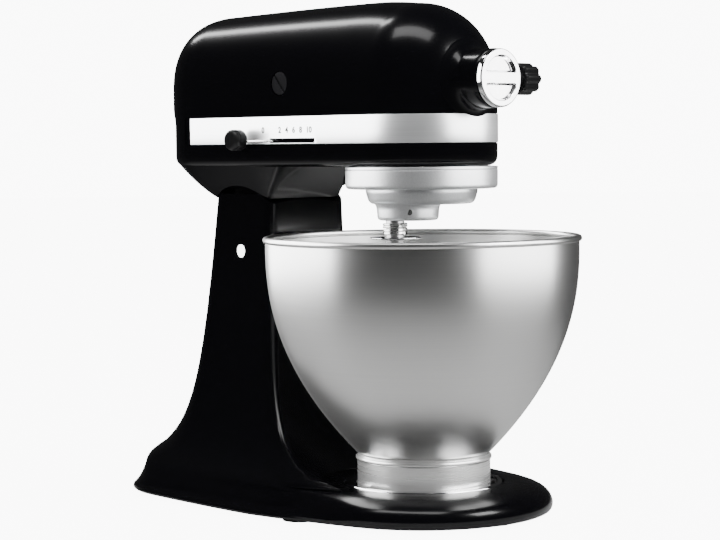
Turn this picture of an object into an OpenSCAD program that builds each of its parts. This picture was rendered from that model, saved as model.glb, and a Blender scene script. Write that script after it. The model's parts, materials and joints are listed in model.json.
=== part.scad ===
// Tilt-head stand mixer: base, column, tilting motor head, planetary drive and steel bowl.
// Frame: millimetres, +Z up, +X towards the front hub, origin under the middle at table level.
// The speed lever is on the -Y side and the head lock lever on the +Y side.

/* [Overall] */
// Overall length, from the back of the base to the front of the bowl
overall_l = 356; // [340:1:380]
// Height of the top of the motor head
overall_h = 357; // [350:1:370]
// Height of the underside of the motor head
head_bottom_z = 242; // [236:1:244]

/* [Motor head] */
// Width of the motor head
head_w = 106; // [98:1:116]
// Length of the motor head behind the planetary axis
head_tail = 237; // [228:1:244]
// Wall of the die-cast casings
casing_wall = 3; // [2.5:0.1:3.6]
// Height of the metal trim band
band_h = 20; // [14:1:24]
// Height of the middle of the trim band
band_z = 268; // [264:1:270]
// Height of the motor shaft and of the attachment hub
drive_z = 301; // [298:1:304]

/* [Bowl] */
// Outside diameter of the bowl's rolled rim
bowl_d = 222; // [200:1:240]
// Height of the top of the rim
bowl_top_z = 195; // [180:1:199]
// Wall of the steel bowl
bowl_wall = 1.2; // [1:0.1:2]
// Outside radius of the bowl's foot ring
foot_r = 46.5; // [40:0.5:50]
// Travel of the bowl between locked and free, in degrees
bowl_turn = 40; // [30:1:45]

/* [Base] */
// Width of the base
base_w = 210; // [190:2:230]
// Radius of the base's front, about the bowl's axis
base_nose_r = 90; // [80:1:100]
// Height of the base casting's top face
base_top = 22; // [20:1:26]
// Radius of a rubber foot
rubber_r = 10; // [8:0.5:12]
// Height that the rubber feet hold the base off the table
rubber_gap = 2.5; // [2:0.5:4]

/* [Column] */
// Width of the column at its top
column_w = 75; // [70:1:80]
// Height of the column's front top edge
column_top = 218; // [214:1:222]
// Distance from the bowl's axis back to the column's front face
column_front = 122; // [118:1:126]
// Depth of the column from front to back at its top
column_depth = 59; // [56:1:62]
// Radius of the hinge pin
pin_r = 4.8; // [4:0.1:6]
// Distance from the bowl's axis back to the hinge pin
pin_back = 150.3; // [148:0.1:153]
// Height of the hinge pin
pin_z = 180; // [176:1:184]

/* [Planetary] */
// Distance from the planetary axis to the agitator shaft
orbit = 26; // [25:0.5:27]
// Radius of the agitator shaft
shaft_r = 6.35; // [5.5:0.05:7]
// Outside radius of the drip ring
drip_r = 53; // [48:0.5:54]
// Radius of the planetary housing
planet_r = 39; // [38:0.5:41]

/* [Hub] */
// Radius of the attachment socket
hub_bore_r = 12.7; // [11:0.1:14]
// Radius of the chrome hub cap
hub_cap_r = 20; // [18:0.5:22]
// Distance from the bowl's axis to the face of the hub
hub_reach = 71; // [68:1:74]
// Radius of the brush caps
brush_cap_r = 8.3; // [7:0.1:9]

/* [Fits] */
// Radial running clearance of shafts in their bearings
run_gap = 0.06; // [0.02:0.01:0.1]
// Gap between moving pieces that only pass each other
pass_gap = 0.5; // [0.4:0.1:1]

/* [Hidden] */
$fn = 64;

// Places
bowl_x = overall_l / 2 - bowl_d / 2;
base_back = -overall_l / 2;
head_r = head_w / 2;
head_back = bowl_x - head_tail;
rear_cx = head_back + head_r;
col_x0 = bowl_x - column_front;
col_x1 = col_x0 - column_depth;
pin_x = bowl_x - pin_back;
head_mid_z = drive_z - 1;
band_x = bowl_x - 188.5;
cover_x = head_back + 42;
hub_x = bowl_x + hub_reach;
// Bowl seat
foot_z = 16.8;
lug_h = 3;
lug_out = 4;
tab_z = foot_z + lug_h + 0.7;
plate_r = foot_r + 8.5;
plate_floor = foot_z - 2.8;
// Gears
ring_module = 2;
ring_teeth = 42;
pinion_teeth = round(ring_teeth - 2 * orbit / ring_module);
centre_teeth = 48;
wheel_pinion_teeth = 12;
centre_module = 1.5;
centre_dist = centre_module * (centre_teeth + wheel_pinion_teeth) / 2;
wheel_y = 26;
wheel_x = bowl_x - sqrt(centre_dist * centre_dist - wheel_y * wheel_y);
worm_r = 6.5;
wheel_r = wheel_y - worm_r - pass_gap;
gear_z = 276;
wheel_shaft_r = 5;
ear_in = column_w / 2 - 5;
lug_y = ear_in - pass_gap;
seam_r = norm([pin_back - column_front, column_top - pin_z]);
slot_x0 = bowl_x - 99;
slot_x1 = bowl_x - 51.4;
lever_z = 260.4;
lever_px = (slot_x0 + slot_x1) / 2;
lever_py = 38;
brush_x = bowl_x - 89;
lock_x = col_x0 - 10;
lock_z = column_top + 10;
ring_z0 = 229;
cover_z0 = ring_z0 + 8;
planet_z0 = 216;
planet_z1 = ring_z0 - 0.6;
boss_z0 = 205;
boss_r = 21.8;
boss_y = -13.5;
shaft_end_z = 152;
beater_pin_z = shaft_end_z + 24;
free_end_l = 20;
screw_ring_r = ring_module * ring_teeth / 2 + 3.6;
socket_x = bowl_x + 33;
cap_seat_r = hub_bore_r + 1.5;
cap_seat_l = 4;
eps = 0.01;

// ---------- shared shapes ----------

// Points of an ellipse arc about (cx, cz), with half-axes a and b, from angle s to angle e
function ellipse_arc(cx, cz, a, b, s, e, n) =
    [for (i = [0:n]) let (t = s + (e - s) * i / n) [cx + a * cos(t), cz + b * sin(t)]];

// Side outline of the head, inset by g: domed back, long crown and falling nose
function head_side(g) = concat(
    ellipse_arc(bowl_x - 40, head_mid_z, 115 - g, overall_h - head_mid_z - g, 0, 90, 12),
    ellipse_arc(bowl_x - 195, head_mid_z - 3, head_tail - 195 - g, overall_h - head_mid_z - 1 - g, 90, 180, 10),
    [[head_back + 4 + g, head_mid_z - 50], [col_x1 + g, column_top + 6 + g], [col_x1 + 30, head_bottom_z + g],
     [bowl_x + 80, head_bottom_z + g]]);

// Cross-section of the head, inset by g: upright sides under a domed top
function head_section(g) = concat(
    ellipse_arc(0, head_mid_z, head_r - g, overall_h - head_mid_z - g, 0, 180, 24),
    [[-head_r + g, 200], [head_r - g, 200]]);

module head_plan(g) {
    translate([bowl_x, 0]) circle(head_r - g);
    translate([rear_cx, -head_r + g]) square([bowl_x - rear_cx, 2 * (head_r - g)]);
    translate([rear_cx, 0]) circle(head_r - g);
}

// The head's outer form, inset by g
module head_form(g) {
    intersection() {
        translate([0, 200, 0]) rotate([90, 0, 0]) linear_extrude(400) polygon(head_side(g));
        translate([-300, 0, 0]) rotate([90, 0, 90]) linear_extrude(600) polygon(head_section(g));
        translate([0, 0, 190]) linear_extrude(200) head_plan(g);
    }
}

module cyl_x(r, x0, x1, y, z) {
    translate([x0, y, z]) rotate([0, 90, 0]) cylinder(r = r, h = x1 - x0);
}

module cyl_y(r, y0, y1, x, z) {
    translate([x, y1, z]) rotate([90, 0, 0]) cylinder(r = r, h = y1 - y0);
}

module cyl_z(r, z0, z1, x, y) {
    translate([x, y, z0]) cylinder(r = r, h = z1 - z0);
}

module tube_z(r, bore, z0, z1, x, y) {
    difference() {
        cyl_z(r, z0, z1, x, y);
        cyl_z(bore, z0 - 1, z1 + 1, x, y);
    }
}

module tube_x(r, bore, x0, x1, y, z) {
    difference() {
        cyl_x(r, x0, x1, y, z);
        cyl_x(bore, x0 - 1, x1 + 1, y, z);
    }
}

// Slotted pan-head screw whose head's underside is at z = 0, pointing down
module screw(head, body, length) {
    difference() {
        union() {
            cylinder(r = head, h = 2);
            translate([0, 0, -length]) cylinder(r = body, h = length + eps);
        }
        translate([-head, -0.4, 1.1]) cube([2 * head, 0.8, 2]);
    }
}

// Outline of a gear with straight-sided teeth: outwards for side = 1, inwards for side = -1
module gear_outline(teeth, m, thick, side, turn) {
    pitch = m * teeth / 2;
    root = pitch - side * 0.95 * m;
    tip = pitch + side * 0.7 * m;
    w_root = thick * 360 / teeth * 1.35;
    w_tip = thick * 360 / teeth * 0.55;
    polygon([for (i = [0:teeth - 1]) let (c = turn + 360 * i / teeth)
        each [[root * cos(c - w_root / 2), root * sin(c - w_root / 2)],
              [tip * cos(c - w_tip / 2), tip * sin(c - w_tip / 2)],
              [tip * cos(c + w_tip / 2), tip * sin(c + w_tip / 2)],
              [root * cos(c + w_root / 2), root * sin(c + w_root / 2)]]]);
}

// ---------- stand ----------

function column_flare(z, c, z0) = max(0, c / (z - z0) - c / (column_top - z0));
// One level of the column: front x, back x, half width and corner radius
function column_level(z) = [
    min(col_x0 + column_flare(z, 1900, 10), bowl_x - plate_r - 6),
    max(col_x1 - 0.12 * max(0, column_top - z) - column_flare(z, 1250, 5), base_back + 22),
    min(column_w / 2 + column_flare(z, 1000, 5), base_w / 2 - 12),
    min(7 + column_flare(z, 900, 5), 40)];
function rounded_ring(v, z, n) = let (r = v[3], cx = [v[0] - r, v[1] + r], cy = v[2] - r)
    [for (q = [0:3]) let (x = (q == 0 || q == 3) ? cx[0] : cx[1], y = q < 2 ? cy : -cy)
        for (i = [0:n]) let (a = 90 * q + 90 * i / n) [x + r * cos(a), y + r * sin(a), z]];

module column_loft(zs) {
    n = 5;
    m = 4 * (n + 1);
    points = [for (z = zs) each rounded_ring(column_level(z), z, n)];
    levels = len(zs);
    faces = concat([[for (i = [0:m - 1]) i]],
        [for (k = [0:levels - 2], i = [0:m - 1]) each
            [[k * m + i, (k + 1) * m + i, (k + 1) * m + (i + 1) % m],
             [k * m + i, (k + 1) * m + (i + 1) % m, k * m + (i + 1) % m]]],
        [[for (i = [m - 1:-1:0]) (levels - 1) * m + i]]);
    polyhedron(points, faces);
}

module base_plan(g) {
    translate([bowl_x, 0]) circle(base_nose_r - g);
    for (s = [-1, 1]) {
        translate([bowl_x - 75, s * (base_w / 2 - 80)]) circle(80 - g);
        translate([base_back + 62, s * (base_w / 2 - 65)]) circle(62 - g);
    }
}

module base_slab(z0, z1, g) {
    translate([0, 0, z0]) linear_extrude(z1 - z0) base_plan(g);
}

foot_places = [[bowl_x + base_nose_r - 24, 0], [bowl_x - 40, base_w / 2 - 24], [bowl_x - 40, 24 - base_w / 2],
    [base_back + 50, base_w / 2 - 46], [base_back + 50, 46 - base_w / 2]];
column_screw_places = [for (sx = [-1, 1], sy = [-1, 1]) [pin_x - 2 + 22 * sx, 24 * sy]];
plate_screw_angles = [30, 150, 270];
plate_screw_r = 30;

module base() {
    color([0.03, 0.03, 0.035]) difference() {
        hull() {
            base_slab(rubber_gap, rubber_gap + 1, 3);
            base_slab(rubber_gap + 3, base_top - 8, 0);
            base_slab(base_top - 3, base_top - 2, 4);
            base_slab(base_top - 1, base_top, 12);
        }
        cyl_z(plate_r + 1, plate_floor, base_top + 1, bowl_x, 0);
        difference() {
            translate([0, 0, rubber_gap - 1]) linear_extrude(8 - rubber_gap + 1) hull() base_plan(9);
            cyl_z(plate_r + 4, 0, 30, bowl_x, 0);
            translate([pin_x - 38, -40, 0]) cube([76, 80, 30]);
            for (p = foot_places) cyl_z(rubber_r + 3, 0, 30, p[0], p[1]);
        }
        for (p = foot_places) cyl_z(rubber_r, rubber_gap - 1, rubber_gap + 4, p[0], p[1]);
        for (p = column_screw_places) {
            cyl_z(2.6, 0, base_top + 1, p[0], p[1]);
            cyl_z(5.5, 0, 12, p[0], p[1]);
        }
        for (a = plate_screw_angles) cyl_z(2, plate_floor - 7.5, base_top, bowl_x + plate_screw_r * cos(a), plate_screw_r * sin(a));
    }
}

module column() {
    zs = [base_top, 25, 28, 32, 37, 44, 53, 65, 82, 105, 135, 170, column_top + 4];
    wall = 6;
    color([0.03, 0.03, 0.035]) difference() {
        column_loft(zs);
        // open middle between the two ears, with room for the head's lug to swing back
        translate([col_x1 + 1, -ear_in, 118]) cube([column_depth - wall - 1, 2 * ear_in, 120]);
        translate([col_x1 - 30, -ear_in, pin_z - 9]) cube([60, 2 * ear_in, 80]);
        translate([col_x1 - 4, -ear_in + 2, 40]) cube([column_depth - 6, 2 * ear_in - 4, 79]);
        // tops of the ears, rounded about the hinge pin
        difference() {
            translate([col_x1 - 20, -60, pin_z + 24]) cube([column_depth + 40, 120, 60]);
            cyl_y(seam_r, -70, 70, pin_x, pin_z);
        }
        // pocket that the lock's toe turns into
        translate([col_x0 - wall - 1, 8.5, lock_z - 20.5]) cube([5.2, 13, 8]);
        cyl_y(pin_r, -60, 60, pin_x, pin_z);
        cyl_x(3, col_x0 - 12, col_x0 + 20, 0, 196);
        cyl_z(1.9, 150, pin_z, pin_x, column_w / 2 - 2.6);
        for (p = column_screw_places) cyl_z(2.2, base_top - 1, base_top + 16, p[0], p[1]);
    }
}

module column_screws() {
    color("dimgray") for (p = column_screw_places) translate([p[0], p[1], 12]) mirror([0, 0, 1]) screw(4.8, 2.1, 24);
}

module bowl_clamp_plate() {
    gap = bowl_turn + 2;
    color("silver") difference() {
        union() {
            cyl_z(plate_r, plate_floor, plate_floor + 2.4, bowl_x, 0);
            tube_z(plate_r, foot_r + lug_out + 1, plate_floor, tab_z + 2, bowl_x, 0);
            difference() {
                tube_z(plate_r - 1, foot_r + 0.6, tab_z, tab_z + 2, bowl_x, 0);
                for (k = [0:2]) translate([bowl_x, 0, tab_z - 1]) rotate(120 * k + 20) tab_gap(gap);
            }
        }
        for (a = plate_screw_angles) cyl_z(2.2, 0, 30, bowl_x + plate_screw_r * cos(a), plate_screw_r * sin(a));
        cyl_z(14, 0, 30, bowl_x, 0);
    }
}

// Sector cut, gap degrees wide, ending at angle zero
module tab_gap(gap) {
    linear_extrude(6) polygon([[0, 0], [80 * cos(gap), 80 * sin(gap)], [80, 0]]);
}

module clamp_plate_screws() {
    color("gray") for (a = plate_screw_angles)
        translate([bowl_x + plate_screw_r * cos(a), plate_screw_r * sin(a), plate_floor + 2.4]) screw(3.6, 1.9, 9);
}

module rubber_feet() {
    color([0.1, 0.1, 0.1]) for (p = foot_places) translate([p[0], p[1], 0]) difference() {
        union() {
            cylinder(r = rubber_r + 2, h = rubber_gap - 0.4);
            cylinder(r = rubber_r, h = rubber_gap + 4);
        }
        translate([0, 0, -1]) cylinder(r = 3, h = 3);
    }
}

module hinge_pin() {
    color("silver") difference() {
        cyl_y(pin_r, -column_w / 2 - 0.5, column_w / 2 + 0.5, pin_x, pin_z);
        cyl_z(1.9, pin_z - 10, pin_z - pin_r + 1.2, pin_x, column_w / 2 - 2.6);
    }
}

module hinge_set_screw() {
    color("gray") cyl_z(1.9, pin_z - 16, pin_z - pin_r + 1.2, pin_x, column_w / 2 - 2.6);
}

module neck_adjusting_screw() {
    color("gray") difference() {
        cyl_x(3, col_x0 - 7, col_x0 - 1.2, 0, 196);
        translate([col_x0 - 2, -4, 195.6]) cube([3, 8, 0.8]);
    }
}

// ---------- motor head ----------

// Zone of the trim band: a skin of the given depth round the sides and front
module band_zone(out, depth, extra) {
    difference() {
        translate([0, 0, band_z - band_h / 2 - extra]) linear_extrude(band_h + 2 * extra) intersection() {
            head_plan(-out);
            translate([band_x - extra, -100]) square([400, 200]);
        }
        translate([0, 0, band_z - band_h]) linear_extrude(2 * band_h) head_plan(depth);
    }
}

module casing_shell(z0, z1, x0, x1) {
    difference() {
        intersection() {
            head_form(0);
            translate([x0, -100, z0]) cube([x1 - x0, 200, z1 - z0]);
        }
        head_form(casing_wall);
        band_zone(1, 1.2, 0);
    }
}

module upper_housing() {
    color([0.03, 0.03, 0.035]) difference() {
        union() {
            casing_shell(band_z, 400, cover_x, 300);
            // boss of the attachment hub
            cyl_x(hub_cap_r, bowl_x + 27, hub_x, 0, drive_z);
            // upper bearing of the worm wheel
            intersection() {
                head_form(1);
                cyl_z(9, drive_z + 6, 400, wheel_x, wheel_y);
            }
        }
        cyl_x(16, bowl_x + 20, hub_x + 1, 0, drive_z);
        cyl_z(wheel_shaft_r + run_gap, drive_z, drive_z + 15, wheel_x, wheel_y);
        cyl_y(brush_cap_r, -60, 60, brush_x, drive_z);
        cyl_y(3 + run_gap, 10, 60, bowl_x + 62, drive_z);
    }
}

// Side outline of the neck that grows out of the head's underside
module neck_side() {
    difference() {
        polygon([[col_x1 + 30, head_bottom_z + 2], [col_x1 + 12, column_top + 13], [pin_x, column_top + 0.8],
            [col_x0, column_top + 0.8], [col_x0 + 1.5, column_top + 6], [col_x0 + 5, column_top + 12],
            [col_x0 + 11, column_top + 18], [col_x0 + 26, head_bottom_z + 2]]);
        translate([pin_x, pin_z]) circle(seam_r + 0.7);
    }
}

module lug_side() {
    translate([pin_x, pin_z]) circle(18);
    polygon([[pin_x - 18, pin_z], [pin_x + 18, pin_z], [col_x0 - 7, column_top - 1], [col_x0 - 7, head_bottom_z + 2],
        [col_x1 + 8, head_bottom_z + 2], [col_x1 + 2, column_top + 3]]);
}

module lower_housing() {
    color([0.03, 0.03, 0.035]) difference() {
        union() {
            casing_shell(190, band_z, cover_x, 300);
            translate([0, column_w / 2, 0]) rotate([90, 0, 0]) linear_extrude(column_w) neck_side();
            translate([0, lug_y, 0]) rotate([90, 0, 0]) linear_extrude(2 * lug_y) lug_side();
            cyl_z(9, head_bottom_z + 1, gear_z - 14, wheel_x, wheel_y);
            cyl_z(3, head_bottom_z + 1, lever_z + 1, lever_px, lever_py);
        }
        cyl_z(13, head_bottom_z - 2, head_bottom_z + 8, bowl_x, 0);
        cyl_z(wheel_shaft_r + run_gap, head_bottom_z + 5, gear_z, wheel_x, wheel_y);
        cyl_y(pin_r + run_gap, -50, 50, pin_x, pin_z);
        translate([slot_x0, -head_r - 2, lever_z - 1.4]) cube([slot_x1 - slot_x0, casing_wall + 4, 2.8]);
        // room for the lock's shaft and finger
        cyl_y(3 + run_gap, 8, 40, lock_x, lock_z);
        translate([lock_x - 4.5, 8.5, lock_z - 23]) cube([8, 13, 28]);
        for (a = [45:90:315])
            cyl_z(1.2, head_bottom_z - 1, head_bottom_z + 2.4, bowl_x + screw_ring_r * cos(a), screw_ring_r * sin(a));
    }
}

module end_cover() {
    color([0.03, 0.03, 0.035]) difference() {
        union() {
            casing_shell(190, 400, -300, cover_x);
            intersection() {
                head_form(1);
                cyl_x(6, head_back, cover_x, 0, 258);
            }
        }
        cyl_x(1.8, head_back - 2, cover_x - 10, 0, 258);
        cyl_x(4, head_back - 2, head_back + 8, 0, 258);
        cyl_y(5, 20, 80, cover_x - 14, 258);
    }
}

module end_cover_screw() {
    color("gray") translate([head_back + 8, 0, 258]) rotate([0, -90, 0]) screw(3.6, 1.8, 20);
}

module trim_band() {
    color("gainsboro") difference() {
        band_zone(0.4, 1.2, 0);
        translate([slot_x0, -head_r - 2, lever_z - 1.4]) cube([slot_x1 - slot_x0, casing_wall + 4, 2.8]);
        for (s = [-1, 1]) cyl_y(1.3, s * head_r - 4, s * head_r + 4, band_x + 6, band_z);
    }
}

module trim_band_screws() {
    color("silver") for (s = [-1, 1])
        translate([band_x + 6, s * (head_r + 0.4), band_z]) rotate([-90 * s, 0, 0]) intersection() {
            translate([0, 0, -2]) cylinder(r = 5, h = 3);
            union() {
                cylinder(r = 2.2, h = 0.9);
                translate([0, 0, -1.6]) cylinder(r = 1.3, h = 1.7);
            }
        }
}

module hub_sleeve() {
    color("silver") difference() {
        union() {
            tube_x(16, hub_bore_r, socket_x, hub_x, 0, drive_z);
            cyl_x(16, socket_x - 5, socket_x, 0, drive_z);
        }
        // relief behind the socket's wall, and the cap's seat in its mouth
        cyl_x(hub_bore_r + 0.5, socket_x + 9, socket_x + 10, 0, drive_z);
        cyl_x(cap_seat_r, hub_x - cap_seat_l, hub_x + 1, 0, drive_z);
        cyl_x(7 + run_gap, socket_x - 6, socket_x + 1, 0, drive_z);
        cyl_y(3 + run_gap, 8, 60, bowl_x + 62, drive_z);
    }
}

module ring_gear() {
    color("darkgray") translate([bowl_x, 0, ring_z0]) difference() {
        cylinder(r = screw_ring_r + 2, h = cover_z0 - ring_z0);
        translate([0, 0, -1]) linear_extrude(20)
            gear_outline(ring_teeth, ring_module, 0.42, -1, -90 + 180 / ring_teeth);
        for (a = [45:90:315]) rotate(a) translate([screw_ring_r, 0, -1]) cylinder(r = 1.2, h = 20);
    }
}

module drip_ring() {
    inner = screw_ring_r + 2.8;
    low = ring_z0 - 2.5;
    color("lightgray") translate([bowl_x, 0, 0]) rotate_extrude($fn = 96)
        polygon([[inner, low], [drip_r - 2.5, low], [drip_r - 0.8, low + 0.7], [drip_r, low + 2.5],
                 [drip_r, head_bottom_z - 0.2], [inner, head_bottom_z - 0.2]]);
}

module gearcase_cover() {
    color("gray") translate([bowl_x, 0, 0]) difference() {
        union() {
            translate([0, 0, cover_z0]) cylinder(r = screw_ring_r + 2.8, h = head_bottom_z - cover_z0);
            translate([0, 0, cover_z0]) cylinder(r = 12, h = 22);
        }
        translate([0, 0, 200]) cylinder(r = 6 + run_gap, h = 100);
        for (a = [45:90:315]) rotate(a) translate([screw_ring_r, 0, 200]) cylinder(r = 1.2, h = 100);
    }
}

module gearcase_screws() {
    color("silver") for (a = [45:90:315])
        translate([bowl_x + screw_ring_r * cos(a), screw_ring_r * sin(a), ring_z0]) {
            translate([0, 0, -1.6]) cylinder(r = 1.9, h = 1.6);
            translate([0, 0, -0.2]) cylinder(r = 1.2, h = head_bottom_z - ring_z0 + 2.4);
        }
}

// ---------- motor ----------

field_r = 40;
armature_r = 27;
motor_x0 = bowl_x - 159;
motor_x1 = bowl_x - 105;

module motor_field() {
    color("dimgray") difference() {
        cyl_x(field_r, motor_x0, motor_x1, 0, drive_z);
        cyl_x(armature_r + 0.6, motor_x0 - 1, motor_x1 + 1, 0, drive_z);
        for (s = [-1, 1]) translate([motor_x0 - 1, -60, s > 0 ? drive_z + 36 : drive_z - 56]) cube([60, 120, 20]);
    }
}

// Bearing bracket: a bridge across the casing with a bearing boss
module bracket(x0, x1, bore) {
    difference() {
        union() {
            translate([x0, -46, drive_z - 8]) cube([x1 - x0, 92, 16]);
            cyl_x(14, x0, x1, 0, drive_z);
        }
        cyl_x(bore, x0 - 1, x1 + 1, 0, drive_z);
    }
}

module motor_bracket_front() {
    color("silver") bracket(bowl_x - 65, bowl_x - 58, wheel_shaft_r + run_gap);
}

module motor_bracket_rear() {
    color("silver") bracket(bowl_x - 186, bowl_x - 179, wheel_shaft_r + run_gap);
}

commutator_r = 14;

module brush_holders() {
    color("saddlebrown") for (s = [-1, 1]) difference() {
        cyl_y(brush_cap_r - 0.6, s > 0 ? commutator_r + 3 : -head_r + 4, s > 0 ? head_r - 4 : -commutator_r - 3, brush_x, drive_z);
        translate([brush_x - 3.6, -60, drive_z - 4.6]) cube([7.2, 120, 9.2]);
    }
}

module brushes() {
    color([0.15, 0.15, 0.15]) for (s = [-1, 1])
        translate([brush_x - 3.5, s > 0 ? commutator_r + 0.3 : -commutator_r - 18.3, drive_z - 4.5]) cube([7, 18, 9]);
}

module brush_springs() {
    color("silver") for (s = [-1, 1], k = [0:6]) translate([brush_x, s * (commutator_r + 19.3 + 2.2 * k), drive_z])
        rotate([90, 0, 0]) rotate_extrude($fn = 24) translate([2.4, 0]) circle(0.5, $fn = 16);
}

module brush_caps() {
    color([0.08, 0.08, 0.08]) for (s = [-1, 1]) translate([brush_x, s * (head_r - 4), drive_z]) rotate([-90 * s, 0, 0])
        difference() {
            cylinder(r = brush_cap_r, h = 3.4);
            rotate(50) translate([-brush_cap_r - 1, -0.8, 1.6]) cube([2 * brush_cap_r + 2, 1.6, 4]);
        }
}

module control_plate() {
    color("tan") difference() {
        translate([cover_x + 1, -34, drive_z - 24]) cube([2.4, 68, 48]);
        cyl_x(20, cover_x - 1, cover_x + 5, 0, drive_z);
        for (s = [-1, 1]) cyl_x(1.6, cover_x - 1, cover_x + 5, s * 29, drive_z);
    }
}

module control_screws() {
    color("silver") for (s = [-1, 1]) cyl_x(1.6, cover_x - 1.5, bowl_x - 186, s * 29, drive_z);
}

module cord_bushing() {
    color([0.1, 0.1, 0.1]) difference() {
        union() {
            cyl_y(5, 44, head_r + 1, cover_x - 14, 258);
            cyl_y(7, head_r - 1.6, head_r + 3, cover_x - 14, 258);
        }
        cyl_y(3.4, 40, 80, cover_x - 14, 258);
    }
}

module armature() {
    color("peru") difference() {
        union() {
            cyl_x(armature_r, motor_x0 + 2, motor_x1 - 2, 0, drive_z);
            cyl_x(20, motor_x0 - 3, motor_x1 + 4, 0, drive_z);
        }
        cyl_x(wheel_shaft_r, motor_x0 - 5, motor_x1 + 9, 0, drive_z);
        for (k = [0:11]) translate([0, 0, drive_z]) rotate([30 * k, 0, 0])
            translate([motor_x0 + 1, -1.2, armature_r - 4]) cube([60, 2.4, 6]);
    }
}

module commutator() {
    color("goldenrod") tube_x(commutator_r, wheel_shaft_r, brush_x - 7, brush_x + 7, 0, drive_z);
}

module motor_shaft() {
    color("silver") union() {
        cyl_x(wheel_shaft_r, cover_x - 17, bowl_x - 21, 0, drive_z);
        // worm thread as a row of collars
        for (k = [0:5]) cyl_x(worm_r, wheel_x - 11 + 3.6 * k, wheel_x - 9.2 + 3.6 * k, 0, drive_z);
    }
}

module cooling_fan() {
    color([0.2, 0.2, 0.2]) union() {
        tube_x(11, wheel_shaft_r, motor_x0 - 14, motor_x0 - 5, 0, drive_z);
        tube_x(33, wheel_shaft_r, motor_x0 - 8, motor_x0 - 6, 0, drive_z);
        for (k = [0:10]) translate([0, 0, drive_z]) rotate([360 / 11 * k, 0, 0])
            translate([motor_x0 - 14, -0.8, 10]) cube([7, 1.6, 22]);
    }
}

module governor() {
    color("darkkhaki") union() {
        tube_x(15, wheel_shaft_r, cover_x - 5, cover_x - 2, 0, drive_z);
        tube_x(9, wheel_shaft_r, cover_x - 14, cover_x - 4, 0, drive_z);
        for (k = [0:2]) translate([0, 0, drive_z]) rotate([120 * k, 0, 0])
            translate([cover_x - 13, -2.5, 8]) cube([10, 5, 6]);
    }
}

// ---------- gears ----------

module worm_wheel() {
    color("darkgoldenrod") translate([wheel_x, wheel_y, drive_z - 4.5]) difference() {
        linear_extrude(9) gear_outline(24, 2 * (wheel_r - 0.8) / 24, 0.5, 1, 0);
        translate([0, 0, -1]) cylinder(r = wheel_shaft_r, h = 20);
    }
}

module wheel_shaft() {
    turn = atan2(-wheel_y, bowl_x - wheel_x) + 180 / wheel_pinion_teeth;
    color("silver") translate([wheel_x, wheel_y, 0]) union() {
        translate([0, 0, head_bottom_z + 6]) cylinder(r = wheel_shaft_r, h = drive_z + 14 - head_bottom_z - 6);
        translate([0, 0, gear_z - 6]) linear_extrude(10)
            gear_outline(wheel_pinion_teeth, centre_module, 0.42, 1, turn);
    }
}

module centre_gear() {
    color("silver") translate([bowl_x, 0, gear_z - 5]) difference() {
        linear_extrude(8) gear_outline(centre_teeth, centre_module, 0.42, 1, atan2(wheel_y, wheel_x - bowl_x));
        translate([0, 0, -1]) cylinder(r = 6, h = 20);
        for (k = [0:4]) rotate(72 * k) translate([20, 0, -1]) cylinder(r = 6, h = 20);
    }
}

module centre_shaft() {
    color("silver") difference() {
        cyl_z(6, boss_z0 + 2, drive_z - 12, bowl_x, 0);
        pin_hole();
    }
}

module bevel(teeth, r) {
    difference() {
        cylinder(r1 = r, r2 = r - 8, h = 8);
        for (k = [0:teeth - 1]) rotate(360 / teeth * k) translate([r, 0, 0]) rotate([0, -45, 0])
            translate([-2, -1, -3]) cube([4, 2, 20]);
    }
}

module centre_bevel_gear() {
    color("silver") translate([bowl_x, 0, drive_z - 20]) difference() {
        bevel(16, 18.6);
        translate([0, 0, -1]) cylinder(r = 6, h = 20);
    }
}

module hub_bevel_gear() {
    color("silver") translate([bowl_x + 20, 0, drive_z]) rotate([0, -90, 0]) difference() {
        bevel(16, 18.6);
        translate([0, 0, -1]) cylinder(r = 5, h = 20);
    }
}

module hub_drive_shaft() {
    color("silver") difference() {
        union() {
            cyl_x(5, bowl_x + 13, bowl_x + 21, 0, drive_z);
            cyl_x(7, bowl_x + 20, socket_x + 0.6, 0, drive_z);
            cyl_x(hub_bore_r - 1.2, socket_x + 0.5, socket_x + 9, 0, drive_z);
        }
        translate([socket_x + 1.5, -4.2, drive_z - 4.2]) cube([10, 8.4, 8.4]);
    }
}

// ---------- planetary ----------

// Radial hole of the roll pin that ties the planetary housing to the centre shaft
module pin_hole() {
    translate([bowl_x, 0, boss_z0 + 6]) rotate([0, 0, -60]) rotate([0, 90, 0]) translate([0, 0, -5]) cylinder(r = 2, h = 50);
}

module planetary_housing() {
    color("silver") difference() {
        union() {
            translate([bowl_x, 0, 0]) rotate_extrude($fn = 96)
                polygon([[0, planet_z0], [planet_r - 4, planet_z0], [planet_r - 1.2, planet_z0 + 1.2],
                         [planet_r, planet_z0 + 4], [planet_r, planet_z1], [0, planet_z1]]);
            cyl_z(boss_r, boss_z0, planet_z1, bowl_x, boss_y);
        }
        cyl_z(6, boss_z0 - 1, 300, bowl_x, 0);
        cyl_z(shaft_r + run_gap, boss_z0 - 1, 300, bowl_x, -orbit);
        pin_hole();
    }
}

module planetary_pin() {
    reach = -boss_y * sin(60) + sqrt(boss_r * boss_r - pow(boss_y * cos(60), 2));
    color("white") translate([bowl_x, 0, boss_z0 + 6]) rotate([0, 0, -60]) rotate([0, 90, 0])
        translate([0, 0, -5]) cylinder(r = 2, h = reach + 5);
}

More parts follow.
